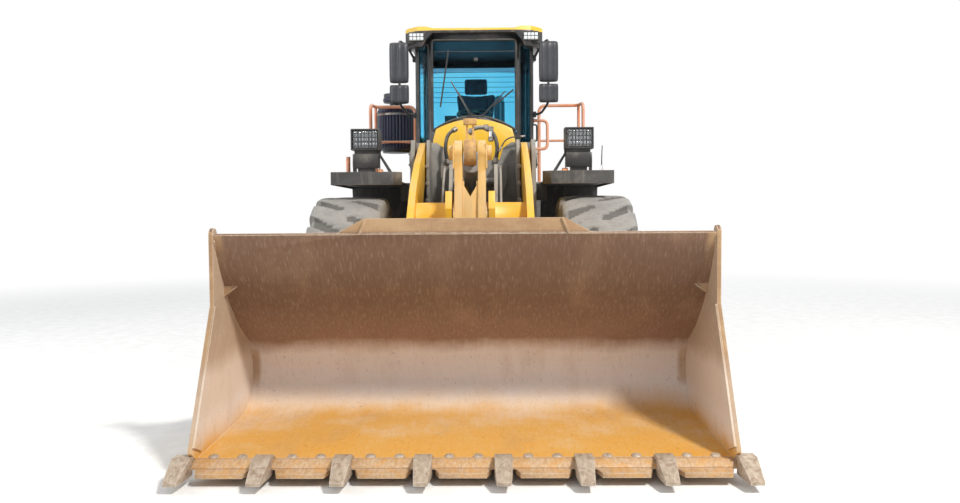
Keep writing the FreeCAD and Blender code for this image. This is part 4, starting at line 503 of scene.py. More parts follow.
def tooth_steel_finish():
    """Grey-tan forged teeth: pale rubbed faces, rust in small pits, soil near the root."""
    tree = new_finish("tooth_steel")
    point = spot_of(tree)
    drawn = noise(tree, stretched(tree, point, (1.0, 0.2, 1.0)), 45.0, 6.0, 0.7)
    colour = mixed(tree, spread(tree, drawn, 0.3, 0.7), (0.33, 0.25, 0.18), (0.50, 0.41, 0.32))
    pits = use(tree, patches, amount=0.46, scale=24.0)
    colour = layer(tree, colour, pits, 0.6, (0.24, 0.14, 0.08))
    rubbed = use(tree, edge_wear, radius=0.010, amount=0.6, scale=30.0)
    colour = mixed(tree, rubbed, colour, (0.62, 0.56, 0.49))
    height = minus(tree, use(tree, grain, scale=110.0, coarse=20.0), times(tree, pits, 0.5))
    close_finish(tree, colour, spread(tree, drawn, 0.3, 0.8, 0.60, 0.42), height, 0.0030,
                 Metallic=spread(tree, rubbed, 0.0, 1.0, 0.15, 0.6))


def pin_steel_finish():
    """Pins in old grease: dark steel, bright rings, rust where the grease has dried."""
    tree = new_finish("pin_steel")
    spots = use(tree, patches, amount=0.48, scale=14.0)
    colour = mixed(tree, spots, (0.26, 0.24, 0.22), (0.24, 0.13, 0.07))
    rubbed = use(tree, edge_wear, radius=0.005, amount=0.5, scale=30.0)
    colour = mixed(tree, rubbed, colour, (0.55, 0.52, 0.48))
    colour = layer(tree, colour, use(tree, dust, amount=0.45, scale=6.0), 0.7, DUST)
    rough = spread(tree, spots, 0.0, 1.0, 0.36, 0.75)
    close_finish(tree, colour, rough, use(tree, grain, scale=240.0, coarse=40.0), 0.0010,
                 Metallic=spread(tree, spots, 0.0, 1.0, 0.7, 0.1))


def chrome_finish():
    """A hard bright rod with rain spots and oil; the tilt rod's eye, past y = -1.92, is painted tan."""
    tree = new_finish("chrome_rod")
    film = use(tree, patches, amount=0.45, scale=8.0)
    colour = mixed(tree, times(tree, film, 0.5), (0.66, 0.66, 0.66), (0.42, 0.38, 0.33))
    spots = use(tree, patches, amount=0.36, scale=60.0)
    colour = mixed(tree, spots, colour, (0.32, 0.25, 0.18))
    point = spot_of(tree)
    split = parts_of(tree, point)
    eye_part = times(tree, spread(tree, split["Y"], -1.91, -1.92), spread(tree, split["Z"], 1.75, 1.77))
    grime = noise(tree, point, 14.0, 7.0, 0.7)
    cast = mixed(tree, spread(tree, grime, 0.35, 0.65), (0.62, 0.36, 0.12), (0.36, 0.20, 0.09))
    colour = mixed(tree, eye_part, colour, cast)
    rough = larger(tree, spread(tree, film, 0.0, 1.0, 0.12, 0.34), times(tree, eye_part, 0.6))
    close_finish(tree, colour, rough, use(tree, grain, scale=300.0, coarse=60.0), 0.0004,
                 Metallic=minus(tree, 1.0, eye_part))


bucket_steel_finish()
edge_steel_finish()
tooth_steel_finish()
pin_steel_finish()
chrome_finish()
print("steel ready")

# %% [markdown]
# ## Rubber, plastic, cloth and glass
# Tyre rubber dries to a light grey with paler dust in the hollows, over which painted shade darkens the floor
# between the lugs. The cab's frame and the mirrors are near black plastic and paint with a fine pebbled skin.
# The seat's cloth is woven, so its colour and its height come from two crossed waves. The glass is tinted
# blue-green, and the windscreen has a darker band on top.


# %% Rubber and plastic
def groove_shade_mask(tree, point):
    """Painted shade mask: 1 between the lugs and in their cuts: nearer to the axle than 0.853 m, within the
    tread's width.
    """
    split = parts_of(tree, point)
    rear = calc(tree, "GREATER_THAN", split["Y"], 0.7)
    y = minus(tree, minus(tree, split["Y"], FRONT_AXLE_Y),
             times(tree, rear, REAR_AXLE_Y - FRONT_AXLE_Y))
    z = minus(tree, split["Z"], AXLE_Z)
    reach = calc(tree, "SQRT", plus(tree, times(tree, y, y), times(tree, z, z)))
    width = calc(tree, "ABSOLUTE", minus(tree, calc(tree, "ABSOLUTE", split["X"]), TYRE_X))
    low = spread(tree, reach, 0.8535, 0.842)
    return times(tree, low, spread(tree, width, 0.285, 0.262))


def tyre_finish():
    """Dry rubber: darker on the walls, pale dust in clouds and in fine cracks round the shoulder, painted
    shade between lugs.
    """
    tree = new_finish("tyre")
    point = spot_of(tree)
    clouds = noise(tree, point, 5.0, 7.0, 0.66)
    colour = mixed(tree, spread(tree, clouds, 0.3, 0.7), (0.165, 0.155, 0.145), (0.27, 0.255, 0.235))
    cracks = place(tree, "ShaderNodeTexVoronoi", {"Vector": point, "Scale": 42.0}, feature="DISTANCE_TO_EDGE")
    thin = spread(tree, cracks.outputs["Distance"], 0.0, 0.05, 1.0, 0.0)
    broken = times(tree, thin, spread(tree, noise(tree, point, 9.0), 0.52, 0.66))
    colour = layer(tree, colour, broken, 0.6, (0.07, 0.065, 0.06))
    rubbed = use(tree, edge_wear, radius=0.014, amount=0.55, scale=20.0)
    colour = layer(tree, colour, rubbed, 0.7, (0.40, 0.38, 0.35))
    settled = use(tree, dust, amount=0.44, scale=4.5)
    colour = layer(tree, colour, settled, 0.55, (0.42, 0.40, 0.37))
    # Painted shade: the floor between the lugs and in their cuts is darkened towards near black.
    colour = mixed(tree, times(tree, groove_shade_mask(tree, point), 0.72), colour, (0.075, 0.068, 0.06))
    height = minus(tree, use(tree, grain, scale=120.0, coarse=26.0), broken)
    close_finish(tree, colour, spread(tree, settled, 0.0, 1.0, 0.66, 0.92), height, 0.0022)


def moulded(name, tone, pale, rough, dusty=0.35, depth=0.0009, scale=420.0):
    """Moulded plastic or rubber: an even pebbled skin, sun-bleached clouds, dust on what faces up."""
    tree = new_finish(name)
    clouds = use(tree, patches, amount=0.5, scale=3.0)
    colour = mixed(tree, times(tree, clouds, 0.5), tone, pale)
    rubbed = use(tree, edge_wear, radius=0.004, amount=0.32, scale=30.0)
    colour = layer(tree, colour, rubbed, 0.6, tuple(min(1.0, 2.2 * c + 0.05) for c in pale))
    settled = use(tree, dust, amount=dusty, scale=5.0)
    colour = layer(tree, colour, settled, 0.55, DUST)
    height = use(tree, grain, scale=scale, coarse=60.0)
    close_finish(tree, colour, spread(tree, settled, 0.0, 1.0, rough, 0.85), height, depth)


tyre_finish()
moulded("plastic_dark", (0.028, 0.030, 0.038), (0.05, 0.052, 0.058), 0.42, 0.20)
moulded("cab_dark", (0.028, 0.029, 0.032), (0.05, 0.05, 0.052), 0.36, 0.33)
moulded("lamp_black", (0.03, 0.03, 0.031), (0.05, 0.05, 0.05), 0.40, 0.36)
moulded("rubber_black", (0.022, 0.022, 0.022), (0.045, 0.044, 0.043), 0.62)
moulded("canister_blue", (0.005, 0.009, 0.038), (0.010, 0.016, 0.056), 0.36, 0.08)
print("rubber and plastic ready")


# %% Cloth
def woven(name, thread, shade):
    """Two crossed waves, one per thread direction; the larger one lies on top."""
    tree = new_finish(name)
    point = spot_of(tree)
    slant = {"Vector": point, "Rotation": (0.0, math.radians(45), 0.0)}
    turned = place(tree, "ShaderNodeMapping", slant).outputs[0]
    warp = place(tree, "ShaderNodeTexWave", {"Vector": turned, "Scale": 95.0}, bands_direction="X").outputs[1]
    weft = place(tree, "ShaderNodeTexWave", {"Vector": turned, "Scale": 95.0}, bands_direction="Z").outputs[1]
    top = larger(tree, warp, weft)
    colour = mixed(tree, spread(tree, top, 0.2, 0.9), shade, thread)
    mottle = use(tree, patches, amount=0.5, scale=14.0)
    colour = layer(tree, colour, mottle, 0.35, tuple(1.5 * c + 0.01 for c in thread))
    settled = use(tree, dust, amount=0.25, scale=8.0)
    colour = layer(tree, colour, settled, 0.4, (0.30, 0.28, 0.26))
    close_finish(tree, colour, spread(tree, mottle, 0.0, 1.0, 0.9, 0.8), top, 0.0012, Sheen_Weight=0.25)


woven("seat_fabric", (0.075, 0.055, 0.075), (0.03, 0.024, 0.032))
print("cloth ready")


# %% Glass
def cab_glass_finish():
    """Clear tinted panes; above z = 3.08 on the front pane the tint darkens to a sun band."""
    tree = new_finish("glass")
    point = spot_of(tree)
    split = parts_of(tree, point)
    band = times(tree, spread(tree, split["Z"], 3.055, 3.085), spread(tree, split["Y"], 0.12, 0.02))
    cloud = spread(tree, noise(tree, point, 1.5), 0.35, 0.7)
    tint = mixed(tree, cloud, (0.30, 0.72, 0.90), (0.42, 0.80, 0.93))
    colour = mixed(tree, band, tint, (0.24, 0.36, 0.46))
    film = use(tree, patches, amount=0.42, scale=3.0)
    close_finish(tree, colour, spread(tree, film, 0.0, 1.0, 0.0, 0.10), Transmission_Weight=1.0, IOR=1.12,
                 Metallic=0.0)


cab_glass_finish()
print("glass ready")

# %% [markdown]
# ## Finishes onto the model's own nodes
# A node that already has the right shape only needs its finish and softer edges. Its mesh is left as it is:
# a Weld joins the loose triangles, a small Bevel rounds the corners that a cutting torch never leaves sharp,
# and a short node graph shades round walls smoothly while it keeps the plates crisp.


# %% Crisp plates, smooth rounds
def smooth_rounds(limit):
    """A geometry graph: all faces smooth, but edges that turn by more than the limit stay sharp."""
    tree = bpy.data.node_groups.new("smooth_rounds", "GeometryNodeTree")
    tree.interface.new_socket(name="Mesh", in_out="INPUT", socket_type="NodeSocketGeometry")
    tree.interface.new_socket(name="Mesh", in_out="OUTPUT", socket_type="NodeSocketGeometry")
    tree.is_modifier = True
    start = tree.nodes.new("NodeGroupInput")
    end = tree.nodes.new("NodeGroupOutput")
    angle = tree.nodes.new("GeometryNodeInputMeshEdgeAngle")
    below = place(tree, "FunctionNodeCompare", {0: angle.outputs[0], 1: limit}, data_type="FLOAT",
                  operation="LESS_THAN")
    faces = place(tree, "GeometryNodeSetShadeSmooth", {0: start.outputs[0], 2: True}, domain="FACE")
    inputs = {0: faces.outputs[0], 2: below.outputs[0]}
    edges = place(tree, "GeometryNodeSetShadeSmooth", inputs, domain="EDGE")
    tree.links.new(edges.outputs[0], end.inputs[0])
    return tree


CRISP_ABOVE = math.radians(31)
BEVEL_ABOVE = math.radians(38)
rounds = smooth_rounds(CRISP_ABOVE)
slots = {part["node"]: part["material_slot"] for part in frame["record"]["subparts"]}
slots.update({"cab_roof": "roof", "front_fenders": "fender_dark", "bucket_teeth": "tooth_steel"})


def dress(node, width):
    """Gives a node its slot's finish, welds it and rounds its edges."""
    piece = nodes[node]
    piece.data.materials.clear()
    piece.data.materials.append(finishes[slots[node]])
    weld = piece.modifiers.new("weld", "WELD")
    weld.merge_threshold = 0.00002
    if width:
        bevel = piece.modifiers.new("round_edges", "BEVEL")
        bevel.width = width
        bevel.segments = 2
        bevel.limit_method = "ANGLE"
        bevel.angle_limit = BEVEL_ABOVE
        bevel.use_clamp_overlap = True
    shade = piece.modifiers.new("smooth_rounds", "NODES")
    shade.node_group = rounds


ROUNDING = {"cab_glass": 0.0, "door_glass": 0.0, "handrails": 0.0, "tilt_rod": 0.0015, "lift_rods": 0.0015,
            "cab_body": 0.004, "cutting_edge": 0.005, "lift_arms": 0.006, "bellcrank": 0.006}
for node in sorted(nodes):
    dress(node, ROUNDING.get(node, 0.003))
print("dressed", len(nodes), "nodes")

# %% [markdown]
# ## Surfaces from arrays
# Every new piece is a grid of points worked out by a formula, and quads join each point to its neighbours.
# A whole family of equal pieces is one array with one more axis in front, so a hundred bolts cost one line.
# Where a grid closes on itself or ends in a pole, double points are merged and the normals turned outward.


def surface(name, points, finish, body="chassis", wrap=True, crease=34):
    """Quads over grids shaped (copies..., rows, columns, 3); columns close on themselves if wrap is true."""
    rows, columns = points.shape[-3:-1]
    grids = points.reshape(-1, rows * columns, 3)
    row, column = np.meshgrid(np.arange(rows - 1), np.arange(columns - (not wrap)), indexing="ij")
    beside = (column + 1) % columns
    corners = (row * columns + column, row * columns + beside, (row + 1) * columns + beside,
               (row + 1) * columns + column)
    quads = np.stack(corners, -1).reshape(1, -1, 4) + (np.arange(len(grids)) * rows * columns)[:, None, None]
    mesh = bpy.data.meshes.new(name)
    mesh.vertices.add(grids.size // 3)
    mesh.vertices.foreach_set("co", grids.astype(np.float32).ravel())
    mesh.loops.add(quads.size)
    mesh.loops.foreach_set("vertex_index", quads.astype(np.int32).ravel())
    mesh.polygons.add(quads.size // 4)
    mesh.polygons.foreach_set("loop_start", np.arange(0, quads.size, 4, dtype=np.int32))
    mesh.update(calc_edges=True)
    work = bmesh.new()
    work.from_mesh(mesh)
    bmesh.ops.remove_doubles(work, verts=work.verts, dist=0.00003)
    bmesh.ops.recalc_face_normals(work, faces=work.faces)
    work.to_mesh(mesh)
    work.free()
    mesh.shade_smooth()
    mesh.set_sharp_from_angle(angle=math.radians(crease))
    mesh.materials.append(finishes[finish])
    piece = bpy.data.objects.new(name, mesh)
    bpy.context.scene.collection.objects.link(piece)
    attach(piece, body)
    return piece


def basis(direction):
    """Two unit vectors across the direction; together they are a right-handed frame."""
    along = np.array(direction, float)
    along /= np.linalg.norm(along)
    helper = np.array([0.0, 0.0, 1.0]) if abs(along[2]) < 0.9 else np.array([1.0, 0.0, 0.0])
    first = np.cross(helper, along)
    first /= np.linalg.norm(first)
    return first, np.cross(along, first), along


def revolved(profile, centres, direction, sides):
    """point(i, a) = centre + h_i * along + r_i * (cos a * first + sin a * second), for rows (h, r)."""
    first, second, along = basis(direction)
    height, radius = np.array(profile, float).T
    angle = np.linspace(0, 2 * np.pi, sides, endpoint=False)
    ring = np.cos(angle)[:, None] * first + np.sin(angle)[:, None] * second
    points = height[:, None, None] * along + radius[:, None, None] * ring
    return np.asarray(centres, float).reshape(-1, 1, 1, 3) + points


def rounded_path(path, bend, steps=7):
    """Each corner becomes the curve P + (1-t)^2 back + t^2 on, where back and on reach along its two legs."""
    path = np.array(path, float)
    t = np.linspace(0, 1, steps)[None, :, None]

    def cut(leg):
        length = np.linalg.norm(leg, axis=1, keepdims=True)
        return leg / length * np.minimum(bend, 0.48 * length)

    back = cut(path[:-2] - path[1:-1])[:, None]
    on = cut(path[2:] - path[1:-1])[:, None]
    arcs = path[1:-1, None] + (1 - t) ** 2 * back + t ** 2 * on
    return np.concatenate([path[:1], arcs.reshape(-1, 3), path[-1:]])


def swept(line, radius, sides):
    """A circle carried along the line: point(i, a) = line_i + r_i * (cos a * side_i + sin a * other_i)."""
    line = np.array(line, float)
    tangent = np.gradient(line, axis=0)
    tangent /= np.linalg.norm(tangent, axis=1, keepdims=True)
    flat = np.linalg.svd(line - line.mean(axis=0))[2][2]
    side = flat - tangent * (tangent @ flat)[:, None]
    side /= np.linalg.norm(side, axis=1, keepdims=True)
    other = np.cross(tangent, side)
    angle = np.linspace(0, 2 * np.pi, sides, endpoint=False)[None, :, None]
    width = np.broadcast_to(radius, len(line))[:, None, None]
    rings = line[:, None] + width * (np.cos(angle) * side[:, None] + np.sin(angle) * other[:, None])
    first = np.broadcast_to(line[:1, None], (1, sides, 3))
    last = np.broadcast_to(line[-1:, None], (1, sides, 3))
    return np.concatenate([first, rings, last])


def soft_blocks(centres, halves, radius, steps=3):
    """A rounded box: point = centre + (half - r) * sign(d) + r * d, with d all over the unit sphere."""
    centres = np.array(centres, float).reshape(-1, 1, 1, 3)
    halves = np.array(halves, float).reshape(-1, 1, 1, 3)
    quarter = np.linspace(0, np.pi / 2, steps + 1)
    lat = np.concatenate([quarter - np.pi / 2, quarter])
    lon = (np.arange(4)[:, None] * np.pi / 2 + quarter).ravel()
    ways = np.array([[1, 1], [-1, 1], [-1, -1], [1, -1]]).repeat(steps + 1, axis=0)
    d = np.stack([np.cos(lat)[:, None] * np.cos(lon), np.cos(lat)[:, None] * np.sin(lon),
                  np.sin(lat)[:, None] * np.ones_like(lon)], -1)
    high = np.sign(np.arange(len(lat)) - steps - 0.5)
    sign = np.stack([np.broadcast_to(ways[:, 0], d.shape[:2]), np.broadcast_to(ways[:, 1], d.shape[:2]),
                     np.broadcast_to(high[:, None], d.shape[:2])], -1)
    points = centres + (halves - radius) * sign + radius * d
    poles = centres + halves * np.array([0.0, 0.0, 1.0])
    low = np.broadcast_to(2 * centres - poles, points[:, :1].shape)
    top = np.broadcast_to(poles, points[:, :1].shape)
    return np.concatenate([low, points, top], axis=1)


def mirrored(points):
    """The same grids on both sides of the machine."""
    return np.concatenate([points, points * np.array([-1.0, 1.0, 1.0])])


def pipe(name, path, bend, radius, sides, finish, body="chassis"):
    """A round bar along a path whose corners are bent, not mitred."""
    return surface(name, swept(rounded_path(path, bend), radius, sides), finish, body)


def lathe(name, profile, spots, direction, sides, finish, body="chassis"):
    """Equal turned parts, one at each spot."""
    return surface(name, revolved(profile, spots, direction, sides), finish, body)


def lump(name, spots, half, radius, finish, body="chassis"):
    """Equal rounded blocks, one about each spot."""
    return surface(name, soft_blocks(spots, [half], radius), finish, body)


print("surface helpers ready")

# %% [markdown]
# ## Tyres
# A loader's rock tyre has wide lugs that start on the shoulder and meet near the middle, half a pitch apart
# on the two sides. The tyre is one surface with two profiles, the floor between the lugs and the worn top of
# the lugs. A smooth mask over angle and width says how far each point rises from the one to the other. Short
# cuts in the lugs are shallow dips.


# %% Tyre surface
PROFILE = np.array([  # x and r of the groove floor, then x and r of the lug top
    (0.2335, 0.330, 0.2335, 0.330), (0.258, 0.338, 0.258, 0.338), (0.275, 0.362, 0.275, 0.362),
    (0.292, 0.405, 0.292, 0.405), (0.306, 0.432, 0.306, 0.432), (0.311, 0.446, 0.311, 0.446),
    (0.306, 0.460, 0.306, 0.460), (0.317, 0.500, 0.317, 0.500), (0.330, 0.560, 0.330, 0.560),
    (0.3368, 0.620, 0.3368, 0.620), (0.3366, 0.668, 0.3366, 0.668), (0.3335, 0.700, 0.3335, 0.700),
    (0.327, 0.728, 0.3355, 0.724), (0.318, 0.756, 0.3345, 0.770), (0.305, 0.782, 0.329, 0.812),
    (0.288, 0.800, 0.316, 0.8385), (0.262, 0.812, 0.290, 0.8525), (0.220, 0.820, 0.240, 0.8595),
    (0.140, 0.826, 0.150, 0.8615), (0.0, 0.829, 0.0, 0.862)])
LUGS = 16


def tyre_grid(centre, columns, rows, flip):
    """Point = centre + (x, r sin a, r cos a), x and r = floor + mask(a, x) * (lug top - floor)."""
    s = np.linspace(0, 1, rows)
    s = np.concatenate([s, 2 - s[-2::-1]])
    step = np.linspace(0, 1, len(PROFILE))
    table = [np.interp(np.minimum(s, 2 - s), step, PROFILE[:, k])[:, None] for k in range(4)]
    side = np.where(s < 1, -1.0, 1.0)[:, None]
    a = np.linspace(0, 2 * np.pi, columns, endpoint=False)[None, :]
    width = table[2] / 0.3375
    phase = LUGS * a / (2 * np.pi) + 0.62 * (1 - width) * side * flip + 0.25 * side
    near = np.abs((phase % 1.0) - 0.5) * 2
    edge = np.interp(width, [0.0, 0.5, 1.0], [0.80, 0.72, 0.60])
    rise = np.clip((edge - near) / 0.13 + 0.5, 0, 1)
    rise = rise * rise * (3 - 2 * rise)
    bridge = np.clip(1 - width / 0.16, 0, 1) * 0.8
    rise = np.maximum(rise, bridge)
    slot = np.clip(1.6 - np.abs(near) / 0.055, 0, 1) * np.clip((width - 0.22) / 0.04, 0, 1)
    slot = slot * np.clip((0.68 - width) / 0.04, 0, 1)
    rise = rise - 0.34 * slot
    x = table[0] + rise * (table[2] - table[0])
    r = table[1] + rise * (table[3] - table[1])
    ripple = 0.0006 * np.sin(90 * s[:, None]) * (table[3] < 0.7)
    points = np.stack([side * (x + ripple), r * np.sin(a), r * np.cos(a)], -1)
    inner = points[:1] * np.array([1.0, 0.985, 0.985])
    close = points[-1:] * np.array([1.0, 0.985, 0.985])
    return np.array(centre) + np.concatenate([close, inner, points, close])


for end, y, columns, rows in (("front", FRONT_AXLE_Y, 640, 44), ("rear", REAR_AXLE_Y, 512, 36)):
    for side, sign in (("left", 1.0), ("right", -1.0)):
        name = end + "_" + side
        sign = np.sign(sum(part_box(name + "_tyre")[k][0] for k in (0, 1)))
        grid = tyre_grid((sign * TYRE_X, y, AXLE_Z), columns, rows, sign)
        tyre = surface(name + "_tread", grid, "tyre", name + "_wheel", crease=60)
        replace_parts(tyre, name + "_tyre")
print("tyres laid")

# %% [markdown]
# ## Bolts where the surfaces are
# A bolt sits flat on its plate. Instead of typing heights, a ray is sent at the plate and the bolt stands
# where it lands, turned to the surface. Each head is a hexagon with a washer, a few dozen faces.

# %% Bolt helpers
trees = {}


def landing(node, spot, direction):
    """Where a ray from the spot meets the node, and which way that face looks; None if it misses."""
    if node not in trees:
        mesh = nodes[node].data
        where = nodes[node].matrix_world
        trees[node] = BVHTree.FromPolygons([where @ v.co for v in mesh.vertices],
                                           [tuple(p.vertices) for p in mesh.polygons])
    point, normal, _, _ = trees[node].ray_cast(Vector(spot), Vector(direction))
    return (point, normal) if point else None


HEX_HEAD = [(0.0, 0.0), (0.0, 1.3), (0.16, 1.3), (0.2, 1.0), (0.75, 1.0), (0.9, 0.86), (0.9, 0.0)]
DOME_HEAD = [(0.0, 0.0), (0.0, 1.0), (0.14, 0.98), (0.33, 0.8), (0.46, 0.5), (0.52, 0.0)]
ROUND_CAP = [(0.0, 0.0), (0.0, 1.0), (0.30, 1.0), (0.42, 0.9), (0.42, 0.42), (0.36, 0.36), (0.36, 0.0)]


def bolts(name, node, body, spots, direction, size, head=HEX_HEAD, finish="pin_steel", sides=6):
    """Heads of that size (half the width across, in metres) where rays from the spots land on the node."""
    found = [landing(node, spot, direction) for spot in spots]
    grids = []
    for hit in found:
        if hit:
            normal = hit[1] if hit[1].dot(Vector(direction)) < 0 else -hit[1]
            grids.append(revolved(np.array(head) * size, [tuple(hit[0])], tuple(normal), sides))
    print(name, len(grids), "of", len(found))
    if grids:
        surface(name, np.concatenate(grids), finish, body)


def row(first, last, count):
    """Points spaced evenly from first to last."""
    t = np.linspace(0, 1, count)[:, None]
    return (np.array(first) * (1 - t) + np.array(last) * t).tolist()


def ring(centre, radius, count, start=0.0):
    """Points on a circle about the centre, in the plane of y and z."""
    angle = np.arange(count) * 2 * np.pi / count + start
    points = np.stack([0 * angle, radius * np.cos(angle), radius * np.sin(angle)], -1)
    return (points + np.array(centre)).tolist()


def both_sides(spots):
    return spots + [(-x, y, z) for x, y, z in spots]


def ahead(u):
    """y of a point that lies u metres ahead of the front axle."""
    return FRONT_AXLE_Y - u


# %% Wheel nuts, pin plates and frame bolts
NUT_RINGS = (("_nuts", 0.178, 16, 0.0, 0.021), ("_rim_bolts", 0.262, 24, 0.1, 0.014))
for end, y in (("front", FRONT_AXLE_Y), ("rear", REAR_AXLE_Y)):
    for side in ("left", "right"):
        name = end + "_" + side
        sign = float(np.sign(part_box(name + "_rim")[0][0]))
        for tag, radius, count, start, size in NUT_RINGS:
            spots = ring((sign * 1.6, y, AXLE_Z), radius, count, start)
            bolts(name + tag, name + "_rim", name + "_wheel", spots, (-sign, 0, 0), size)
tower = both_sides(row((0.45, -4.0, 1.20), (0.45, -4.0, 2.02), 6))
bolts("tower_bolts", "front_frame", "front_end", tower, (0, 1, 0), 0.016)
deck_spots = both_sides(row((0.72, ahead(0.2), 2.1), (0.72, ahead(-0.8), 2.1), 6))
bolts("deck_bolts", "front_fenders", "front_end", deck_spots, (0, 0, -1), 0.014)
segments = [((k - 3) * 0.466 + d, ahead(3.085), 1.0) for k in range(7) for d in (-0.085, 0.085)]
bolts("segment_bolts", "bucket_shell", "bucket", segments, (0, 0, -1), 0.031, DOME_HEAD, "tooth_steel", 16)
hood_spots = [(2.0, y, z) for z in (1.62, 2.34) for y in (1.92, 2.5, 3.1, 3.6)]
for side, sign in SIDES:
    spots = [(sign * x, y, z) for x, y, z in hood_spots]
    bolts("hood_bolts_" + side, "hood", "chassis", spots, (-sign, 0, 0), 0.010)
weight_spots = both_sides([(0.9, 6.0, 1.50), (0.9, 6.0, 1.02), (0.5, 6.0, 1.5), (0.5, 6.0, 1.02)])
bolts("weight_bolts", "counterweight", "chassis", weight_spots, (0, -1, 0), 0.03)
roof_spots = both_sides([(0.5, 0.3, 4.0), (0.5, 1.2, 4.0)])
bolts("roof_bolts", "cab_roof", "chassis", roof_spots, (0, 0, -1), 0.016, DOME_HEAD, "rubber_black", 12)

# %% [markdown]
# ## Bucket details
# A bucket is welded from plates, so beads run where they meet: a bead is a tube whose radius swells and
# shrinks a little along its way. The side plates carry wear strips inside their front edges, plain plates
# with softened edges.


# %% Beads and strips
def bead(first, last, radius, pitch=0.012):
    """A weld: the tube's radius is r * (1 + 0.16 |sin(pi s / pitch)|) at the distance s."""
    first, last = np.array(first, float), np.array(last, float)
    length = np.linalg.norm(last - first)
    s = np.linspace(0, 1, max(int(length / pitch * 3), 6))
    size = radius * (1 + 0.16 * np.abs(np.sin(np.pi * s * length / pitch)))
    size[[0, -1]] *= 0.4
    return swept(first + (last - first) * s[:, None], size, 8)


def plate_between(corners, low, high, edge):
    """A flat plate across x with four corners: rings inset by the edge, full, full, inset, with middles."""
    corners = np.array(corners, float)
    middle = corners.mean(axis=0)
    inset = 1 - edge / np.abs(corners - middle).max()
    t = np.linspace(0, 1, 9)[:-1]
    sides = np.stack([corners, np.roll(corners, -1, axis=0)], 1)
    t = t[None, :, None]
    outline = (sides[:, None, 0] * (1 - t) + sides[:, None, 1] * t).reshape(-1, 2)
    scales = np.array([0.0, inset, 1.0, 1.0, inset, 0.0])
    levels = np.array([low, low, low + edge, high - edge, high, high])
    flat = middle + scales[:, None, None] * (outline - middle)
    return np.insert(flat, 0, levels[:, None], axis=2)


strip = [(ahead(2.768), 0.985), (ahead(3.188), 0.205), (ahead(3.055), 0.150), (ahead(2.635), 0.93)]
surface("wear_strips", mirrored(plate_between(strip, 1.562, 1.5745, 0.003)), "bucket_steel", "bucket")
welds = [((-0.66, ahead(2.752), 1.436), (0.66, ahead(2.752), 1.436), 0.007),
         ((0.0, ahead(2.745), 1.44), (0.0, ahead(2.748), 1.522), 0.004)]
welds += [((x, ahead(2.44), 0.97), (x, ahead(2.75), 1.40), 0.007) for x in (1.574, -1.574)]
for k, (first, last, radius) in enumerate(welds):
    surface("bucket_bead_" + str(k), bead(first, last, radius), "bucket_steel", "bucket")
print("bucket details")

# %% [markdown]
# ## Roof lamps and headlamps
# Each roof pod holds a panel of eight small lamps, so that every lamp catches light on its own. The caged
# headlamps have a lens that is one surface whose depth is a row of bowls.


# %% Lamp finishes
def lens_finish(name, tone, rough):
    """A bright moulded reflector under a clear coat."""
    tree = new_finish(name)
    film = use(tree, patches, amount=0.5, scale=22.0)
    colour = layer(tree, tone, film, 0.5, tuple(0.62 * c for c in tone))
    colour = layer(tree, colour, use(tree, dust, amount=0.34, scale=9.0), 0.5, DUST)
    skin = use(tree, grain, scale=300.0, coarse=80.0)
    shine = spread(tree, film, 0.0, 1.0, rough, rough + 0.25)
    close_finish(tree, colour, shine, skin, 0.0003, Coat_Weight=1.0)


lens_finish("lens_white", (0.74, 0.78, 0.80), 0.16)
lens_finish("lens_grey", (0.27, 0.30, 0.33), 0.14)
lens_finish("lens_orange", (0.85, 0.25, 0.02), 0.22)
lens_finish("lens_red", (0.55, 0.02, 0.015), 0.22)


def lamp_panel(centre, half, across, up, depth, columns):
    """y = centre_y - depth * |sin(pi n u)|^.5 * |sin(pi m v)|^.5 over u and v in 0..1."""
    u = np.linspace(0, 1, across * columns + 1)
    v = np.linspace(0, 1, up * columns + 1)[:, None]
    bowl = np.sqrt(np.abs(np.sin(np.pi * across * u)) * np.abs(np.sin(np.pi * up * v)))
    x = centre[0] + half[0] * (2 * u - 1) + 0 * v
    z = centre[2] + half[1] * (2 * v - 1) + 0 * u
    return np.stack([x, centre[1] - depth * bowl, z], -1)


def on_face(node, x, z):
    """y of the node's front face at that x and z."""
    return landing(node, (x, -4.0, z), (0, 1, 0))[0].y


POD_X, POD_Z = 0.604, 3.43
HEADLAMP = (0.99, ahead(0.236), 2.2525)
SIGNAL = [(0.0, 0.0), (0.0, 0.031), (0.085, 0.031), (0.10, 0.022), (0.104, 0.0)]
for side, sign in SIDES:
    y = on_face("cab_roof", sign * POD_X, POD_Z) - 0.004
    cells = [(sign * POD_X + 0.019 * i, y, POD_Z + 0.019 * j) for i in (-3, -1, 1, 3) for j in (-1, 1)]
    lump("roof_leds_" + side, cells, (0.0165, 0.006, 0.0165), 0.005, "lens_white")
    turns = ((-1, -1), (1, -1), (1, 1), (-1, 1), (-1, -1))
    bezel = [(sign * POD_X + 0.081 * i, y, POD_Z + 0.043 * j) for i, j in turns]
    pipe("roof_bezel_" + side, bezel, 0.014, 0.006, 10, "lamp_black")
    lens = lamp_panel((sign * HEADLAMP[0], *HEADLAMP[1:]), (0.112, 0.078), 9, 3, 0.010, 6)
    surface("head_lens_" + side, lens, "lens_grey", "front_end", wrap=False, crease=70)
    spot = [(sign * 0.862, ahead(0.18), 1.88)]
    lathe("signal_" + side, SIGNAL, spot, (0, 0, 1), 20, "lens_orange", "front_end")
post = [(-1.165, ahead(0.14), z) for z in (1.866, 2.0, 2.10)]
surface("marker_post", swept(post, 0.020, 14), "rail_orange", "front_end")
print("lamps lit by day")

# %% [markdown]
# ## The cab's front
# The windscreen stands in a black rubber seal whose lower edge arches over the yellow cowl. Thin wiper arms
# cross the pane and end in blades. The seal and the arms are tubes carried along rounded paths.

